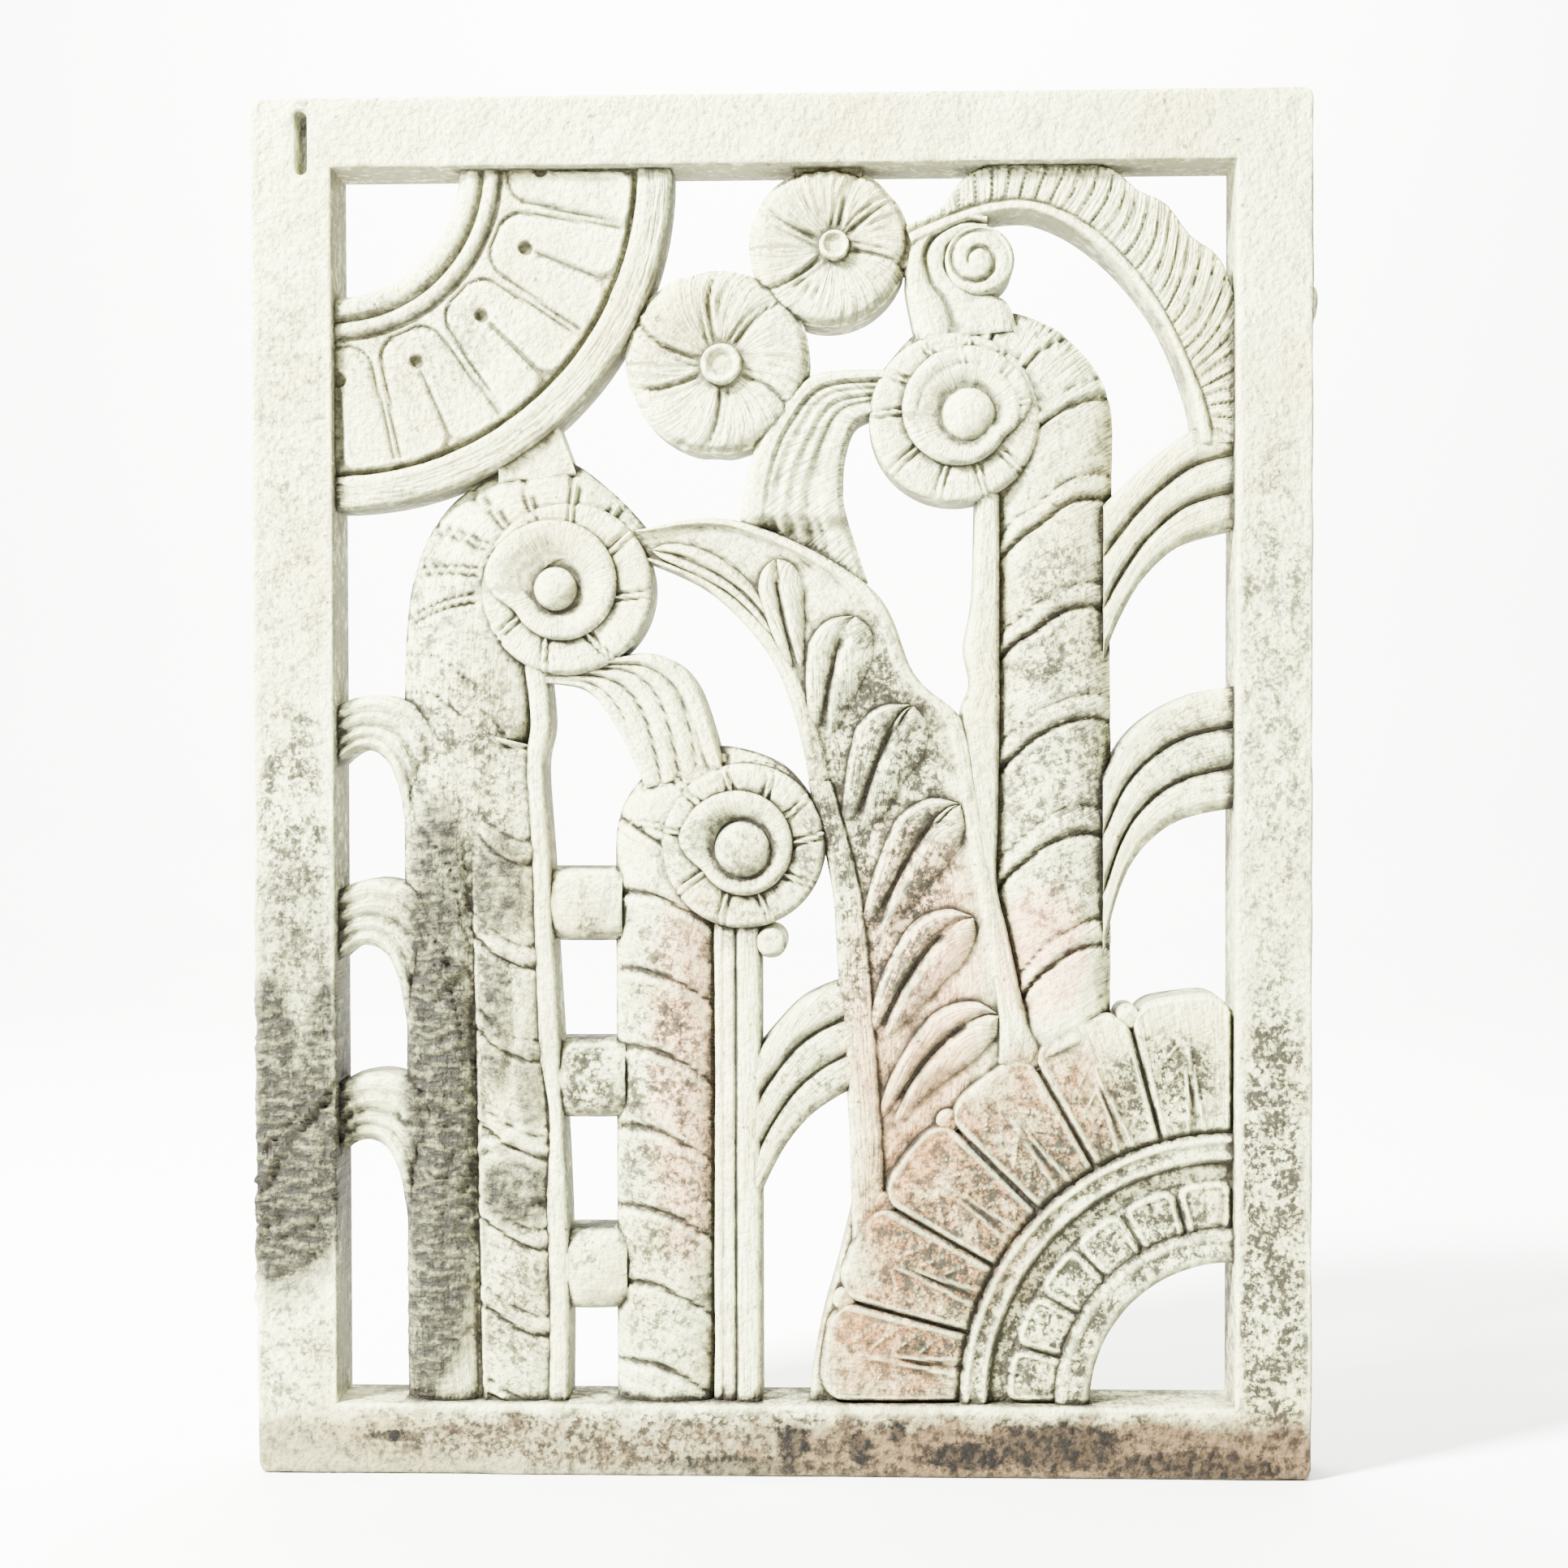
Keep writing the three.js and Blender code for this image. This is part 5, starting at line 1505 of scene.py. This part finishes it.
@dataclass
class CastPanel:
    """The whole casting: frame and ornament joined into one solid, roughened, weathered and given painted shade and
    highlights.
    """

    finish: WeatheredConcreteAndPaintedShade = field(default_factory=WeatheredConcreteAndPaintedShade)
    triangles: int = 192000
    ropes: Sequence[tuple[Sequence[Point], float]] = (
        (((-378, 212), (-362, 244), (-345, 262), (-327, 292)), 3.4),
        (((-376, 150), (-352, 158), (-326, 190)), 2.6),
        (((-372, 178), (-350, 186), (-330, 196)), 2.2),
        (((-274, 262), (-262, 272), (-250, 268)), 2.6),
        (((-236, 222), (-222, 236), (-206, 240), (-190, 250), (-172, 246)), 3.4),
        (((-270, 330), (-254, 352), (-240, 366)), 2.4),
        (((-262, 210), (-246, 206), (-230, 220)), 2.4))

    def ornament(self) -> list:
        """Sub-assemblies of the carving, in the order they are joined."""
        heads = [
            ScrollHead("left_head", (-155, 645), 63, (-162, 646), 54, 32, 165, -1, (-163, 645), 16,
                       (-142, -101, -55, -8, 32, 75, 106, 149)),
            ScrollHead("right_head", (127, 767), 62, (132, 771), 52, 33, 15, 1, (137, 769), 20,
                       (60, 88, 120, 150, 176, 212, 246, 280, 312), (96, 48, 12, -14, -44), 36.0),
            ScrollHead("middle_head", (-27, 458), 60, (-29, 456), 46, 29, 165, -1, (-27, 455), 21,
                       (-150, -110, -70, -30, 8, 36, 66, 100, 132, 163)),
        ]
        flowers = [
            Flower("left_flower", (-45, 809), 67, (-42, 807), 15, (55, 105, 165, 205, 268, 335)),
            Flower("upper_flower", (36, 892), 58, (40, 892), 11, (42, 77, 157, 220, 348)),
        ]
        return [Sun(), Fan(), *flowers, LeftScroll(), MiddleScroll(), RightScroll(), *heads, Arches(), BigLeaf(),
                SmallLeaf(), Feather(), Volute(), Beads(), Webs()]

    def roughen(self, panel: bpy.types.Object) -> None:
        """Moves the front outwards and inwards: smeared mortar, ropes of it, and the unevenness of the cast.

        Args:
            panel: The joined casting.
        """
        places = places_of(panel)
        normals = np.empty(3 * len(panel.data.vertices), dtype=np.float32)
        panel.data.vertices.foreach_get("normal", normals)
        normals = normals.reshape(-1, 3).astype(float)
        x, z = places[:, 0] / MM, places[:, 2] / MM
        front = soft((-normals[:, 1] - 0.15) / 0.5)
        ragged = 1.0 + 0.5 * grain(x, z, 26.0, 31.0) + 0.3 * grain(x, z, 9.0, 32.0)
        smear = np.clip(self.finish.share_of(self.finish.smeared, x, z) * ragged, 0.0, 1.0)
        clods = 1.0 - np.abs(grain(x + 0.4 * z, z, 7.5, 41.0))
        lumps = 1.5 * clods**2 + 1.0 * grain(x, z, 4.2, 42.0) + 0.9 * grain(x, z, 15.0, 43.0)
        lift = 0.5 * grain(x, z, 48.0, 51.0) + 0.22 * grain(x, z, 6.0, 52.0) + 1.15 * smear * lumps
        for line, tall in self.ropes:
            knots = Edge(line).at(np.linspace(0.0, 1.0, 25))
            near = (x > knots[:, 0].min() - 14) & (x < knots[:, 0].max() + 14)
            near &= (z > knots[:, 1].min() - 14) & (z < knots[:, 1].max() + 14)
            wobble_x, wobble_z = 3.0 * grain(x[near], z[near], 8.0, 61.0), 3.0 * grain(x[near], z[near], 8.0, 62.0)
            apart = np.min(np.hypot((x[near] + wobble_x)[:, None] - knots[:, 0],
                                    (z[near] + wobble_z)[:, None] - knots[:, 1]), axis=1)
            broken = 0.6 + 0.6 * grain(x[near], z[near], 10.0, 63.0)
            lift[near] += tall * broken * (ridge(apart, 5.5) - 0.5 * ridge(apart - 7.0, 3.5))
        places += normals * (lift * front * MM)[:, None]
        side = (np.abs(normals[:, 0]) > 0.7) & (np.abs(x) > 378)
        places[side, 0] += np.sign(x[side]) * MM * (
            0.7 * grain(z[side], places[side, 1] / MM, 31.0, 71.0) - 0.5)
        set_places(panel, places)

    def mend(self, panel: bpy.types.Object) -> None:
        """Takes out the few faulty corners that thinning leaves and closes the surface again.

        Args:
            panel: The thinned casting.
        """
        select_only(panel)
        bpy.ops.object.mode_set(mode="EDIT")
        bpy.ops.mesh.select_mode(type="VERT")
        bpy.ops.mesh.select_all(action="DESELECT")
        bpy.ops.mesh.select_non_manifold()
        bpy.ops.mesh.delete(type="VERT")
        bpy.ops.mesh.select_all(action="SELECT")
        bpy.ops.mesh.delete_loose()
        bpy.ops.mesh.select_all(action="SELECT")
        bpy.ops.mesh.fill_holes(sides=0)
        bpy.ops.mesh.select_all(action="SELECT")
        bpy.ops.mesh.quads_convert_to_tris()
        bpy.ops.mesh.normals_make_consistent(inside=False)
        bpy.ops.object.mode_set(mode="OBJECT")

    def note_weather_and_shade(self, panel: bpy.types.Object) -> None:
        """Stores shares at every place: grooves for soot and painted shade, painted shade on low places, steep sides
        and sides turned from the light, crests for wear and painted highlight, and the areas of the finish.

        Args:
            panel: The roughened casting.
        """
        places = places_of(panel) / MM
        normals = np.empty(3 * len(places), dtype=np.float32)
        panel.data.vertices.foreach_get("normal", normals)
        corners = np.empty(3 * len(panel.data.polygons), dtype=np.int32)
        panel.data.polygons.foreach_get("vertices", corners)
        first, second, third = places[corners.reshape(-1, 3)].transpose(1, 0, 2)
        one, two = second - first, third - first
        facing = one[:, 0] * two[:, 2] - one[:, 2] * two[:, 0]
        samples = np.where(facing > 0.02, np.ceil(facing / 2.0), 0).astype(int)
        owner = np.repeat(np.arange(len(samples)), samples)
        step = np.arange(len(owner))
        share, other = (step * 0.7548776662) % 1.0, (step * 0.5698402910) % 1.0
        over = share + other > 1.0
        share[over], other[over] = 1.0 - share[over], 1.0 - other[over]
        dots = first[owner] + share[:, None] * one[owner] + other[:, None] * two[owner]
        cell = 1.5
        columns, rows = int((WIDTH + 40) / cell), int((HEIGHT + 40) / cell)

        def cell_of(points: np.ndarray) -> tuple[np.ndarray, np.ndarray]:
            """Row and column of the cell that every point falls in."""
            return (np.clip(((points[:, 2] + 20) / cell).astype(int), 0, rows - 1),
                    np.clip(((points[:, 0] + WIDTH / 2 + 20) / cell).astype(int), 0, columns - 1))

        at = np.ravel_multi_index(cell_of(dots), (rows, columns))
        total = np.bincount(at, BACK - dots[:, 1], rows * columns).reshape(rows, columns)
        count = np.bincount(at, minlength=rows * columns).reshape(rows, columns).astype(float)
        row, column = cell_of(places)
        rise = BACK - places[:, 1]

        def spread(values: np.ndarray, reach: int) -> np.ndarray:
            """Running mean over a square."""
            for axis in (0, 1):
                padded = np.pad(values, [(reach + 1, reach) if a == axis else (0, 0) for a in (0, 1)], mode="edge")
                summed = np.cumsum(padded, axis=axis)
                size = values.shape[axis]
                values = (np.take(summed, np.arange(2 * reach + 1, 2 * reach + 1 + size), axis=axis)
                          - np.take(summed, np.arange(0, size), axis=axis)) / (2 * reach + 1)
            return values

        filled = spread(count, 1)
        level = np.where(filled > 0, spread(total, 1) / np.maximum(filled, 1e-6), 22.0)
        wide = spread(spread(level, 5), 4)
        near = spread(spread(level, 2), 1)
        # Painted shade, stored below: sides facing down and to the right, away from the key lamp, steep sides and low
        # places.
        turned_from_light = soft((0.5 * normals[0::3] - 0.8 * normals[2::3] - 0.04) / 0.55)
        steep = soft((0.8 + normals[1::3]) / 0.5)
        # Hollow: how far a place lies below its surroundings, later darkened as soot and painted shade.
        below = 0.3 * (wide[row, column] - rise) / 3.4 + 0.85 * (near[row, column] - rise) / 1.5
        low = soft((wide[row, column] - rise + 0.3) / 3.2)
        stores = {"hollow": np.where(rise > 25.0, soft((below - 0.16) / 0.8), 0.1),
                  "painted_shade": np.clip(0.55 * low + 0.35 * steep + 0.8 * turned_from_light, 0.0, 1.0),
                  # Crest: raised places, later paled as edge wear and painted highlight.
                  "crest": soft((rise - near[row, column] - 0.15) / 1.5) * (1.0 - 0.7 * steep),
                  "grime": self.finish.share_of(self.finish.grimy, places[:, 0], places[:, 2]),
                  "smear": self.finish.share_of(self.finish.smeared, places[:, 0], places[:, 2]),
                  "limewash": self.finish.share_of(self.finish.limewashed, places[:, 0], places[:, 2]),
                  "earth": self.finish.share_of(self.finish.earthy, places[:, 0], places[:, 2])}
        for name, values in stores.items():
            store = panel.data.attributes.new(name, "FLOAT", "POINT")
            store.data.foreach_set("value", values.astype(np.float32))

    def behind(self) -> bpy.types.Object:
        """Models the block that trims the back flat, its face divided so that the back has small faces."""
        block = blank_sheet("behind", 36, 46)
        select_only(block)
        bpy.ops.object.mode_set(mode="EDIT")
        bpy.ops.mesh.select_all(action="SELECT")
        bpy.ops.transform.resize(value=(1.2 * WIDTH * MM, 1.2 * HEIGHT * MM, 1.0))
        bpy.ops.transform.rotate(value=math.pi / 2, orient_axis="X", center_override=(0, 0, 0))
        bpy.ops.transform.translate(value=(0, BACK * MM, HEIGHT / 2 * MM))
        bpy.ops.mesh.extrude_region_move(TRANSFORM_OT_translate={"value": (0, DEPTH * MM, 0)})
        bpy.ops.mesh.select_all(action="SELECT")
        bpy.ops.mesh.normals_make_consistent(inside=False)
        bpy.ops.object.mode_set(mode="OBJECT")
        return block

    def build(self) -> bpy.types.Object:
        """Models the casting.

        Returns:
            One closed solid at the origin.
        """
        panel = Frame().build()
        panel.name = "casting"
        carving = []
        for ornament in self.ornament():
            pieces = ornament.build()
            log.info("%s: %d solids", type(ornament).__name__, len(pieces))
            carving += pieces
        work_in(panel, carving, Join.UNION)
        work_in(panel, [self.behind()], Join.DIFFERENCE)
        select_only(panel)
        bpy.ops.object.mode_set(mode="EDIT")
        bpy.ops.mesh.select_all(action="SELECT")
        bpy.ops.mesh.quads_convert_to_tris()
        bpy.ops.object.mode_set(mode="OBJECT")
        self.roughen(panel)
        thin = panel.modifiers.new("thin", "DECIMATE")
        thin.ratio = min(1.0, self.triangles / len(panel.data.polygons))
        bpy.ops.object.modifier_apply(modifier=thin.name)
        self.mend(panel)
        self.note_weather_and_shade(panel)
        return panel

    def dress(self, panel: bpy.types.Object) -> None:
        """Gives the casting its finish and its place in the frame."""
        panel.data.materials.clear()
        panel.data.materials.append(self.finish.material())
        select_only(panel)
        bpy.ops.object.shade_smooth_by_angle(angle=math.radians(48))
        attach(panel, "root")
        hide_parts("cast_panel")


@dataclass(frozen=True)
class Studio:
    """Pale floor and backdrop, soft lights and the camera."""

    floor: tuple = tint(246, 246, 243)
    lens: float = 54.04
    sensor: float = 36.0
    camera_at: tuple[float, float, float] = (0.059751, -1.722311, 0.533794)
    camera_turn: tuple[float, float, float] = (1.0375, -0.1044, -1.9077)

    def stage(self) -> bpy.types.Object:
        """Models the floor as one sheet that sweeps up into a backdrop.

        Returns:
            The sheet.
        """
        bpy.ops.object.select_all(action="DESELECT")
        bpy.ops.mesh.primitive_plane_add(size=1.0, location=(0, -1.0, 0))
        floor = bpy.context.active_object
        floor.name = "studio_floor"
        bpy.ops.transform.resize(value=(14.0, 8.0, 1.0))
        bpy.ops.object.transform_apply(location=True, rotation=True, scale=True)
        for edge in floor.data.edges:
            edge.select = all(floor.data.vertices[i].co.y > 2.9 for i in edge.vertices)
        for polygon in floor.data.polygons:
            polygon.select = False
        for vertex in floor.data.vertices:
            vertex.select = vertex.co.y > 2.9
        bpy.ops.object.mode_set(mode="EDIT")
        bpy.context.tool_settings.mesh_select_mode = (False, True, False)
        for out, up in ((0.5, 0.08), (0.35, 0.25), (0.2, 0.5), (0.06, 0.8), (0.0, 5.0)):
            bpy.ops.mesh.extrude_region_move(TRANSFORM_OT_translate={"value": (0, out, up)})
        bpy.ops.object.mode_set(mode="OBJECT")
        bpy.ops.object.shade_smooth()
        material = bpy.data.materials.new("studio_paper")
        material.use_nodes = True
        shader = material.node_tree.nodes["Principled BSDF"]
        shader.inputs["Base Color"].default_value = self.floor
        shader.inputs["Roughness"].default_value = 0.9
        floor.data.materials.append(material)
        return floor

    def lamp(self, name: str, at: tuple, aim: tuple, size: float, power: float) -> None:
        """Adds a soft square lamp.

        Args:
            name: Name of the lamp.
            at: Its place.
            aim: Point that it faces.
            size: Length of its side.
            power: Watts.
        """
        bpy.ops.object.light_add(type="AREA", location=at)
        lamp = bpy.context.active_object
        lamp.name = name
        lamp.data.size = size
        lamp.data.energy = power
        away = (Matrix.Translation(at).translation - Matrix.Translation(aim).translation)
        lamp.rotation_euler = away.to_track_quat("Z", "Y").to_euler()

    def light(self) -> None:
        """Adds the lamps and an even pale surround."""
        self.lamp("key_lamp", (-2.5, -1.7, 3.3), (0, 0, 0.5), 0.6, 2250.0)
        self.lamp("fill_lamp", (2.0, -3.8, 1.4), (0, 0, 0.5), 2.4, 25.0)
        self.lamp("paper_lamp", (0, 1.6, 3.4), (0, 3.6, 0.8), 3.0, 1100.0)
        world = bpy.data.worlds.new("studio_air")
        world.use_nodes = True
        surround = world.node_tree.nodes["Background"]
        surround.inputs["Color"].default_value = (1.0, 1.0, 1.0, 1.0)
        surround.inputs["Strength"].default_value = 0.12
        bpy.context.scene.world = world

    def camera(self) -> None:
        """Adds the camera at the view of the photograph."""
        bpy.ops.object.camera_add()
        camera = bpy.context.active_object
        camera.name = "front_camera"
        camera.data.lens = self.lens
        camera.data.sensor_width = self.sensor
        turn = np.radians(self.camera_turn)
        angle = float(np.linalg.norm(turn))
        rows = np.array(Matrix.Rotation(angle, 3, tuple(turn / angle)))
        right, ahead, up = rows
        placed = np.eye(4)
        placed[:3, 0], placed[:3, 1], placed[:3, 2], placed[:3, 3] = right, up, -ahead, self.camera_at
        camera.matrix_world = Matrix(placed.tolist())
        bpy.context.scene.camera = camera

    def build(self) -> None:
        """Sets up the whole studio."""
        self.stage()
        self.light()
        self.camera()


def main() -> None:
    """Builds the casting and the studio, and logs the number of triangles."""
    logging.basicConfig(level=logging.INFO, format="%(name)s: %(message)s")
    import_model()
    casting = CastPanel()
    panel = casting.build()
    casting.dress(panel)
    log.info("casting: %d triangles", sum(len(p.vertices) - 2 for p in panel.data.polygons))
    Studio().build()


if __name__ == "__main__":
    main()
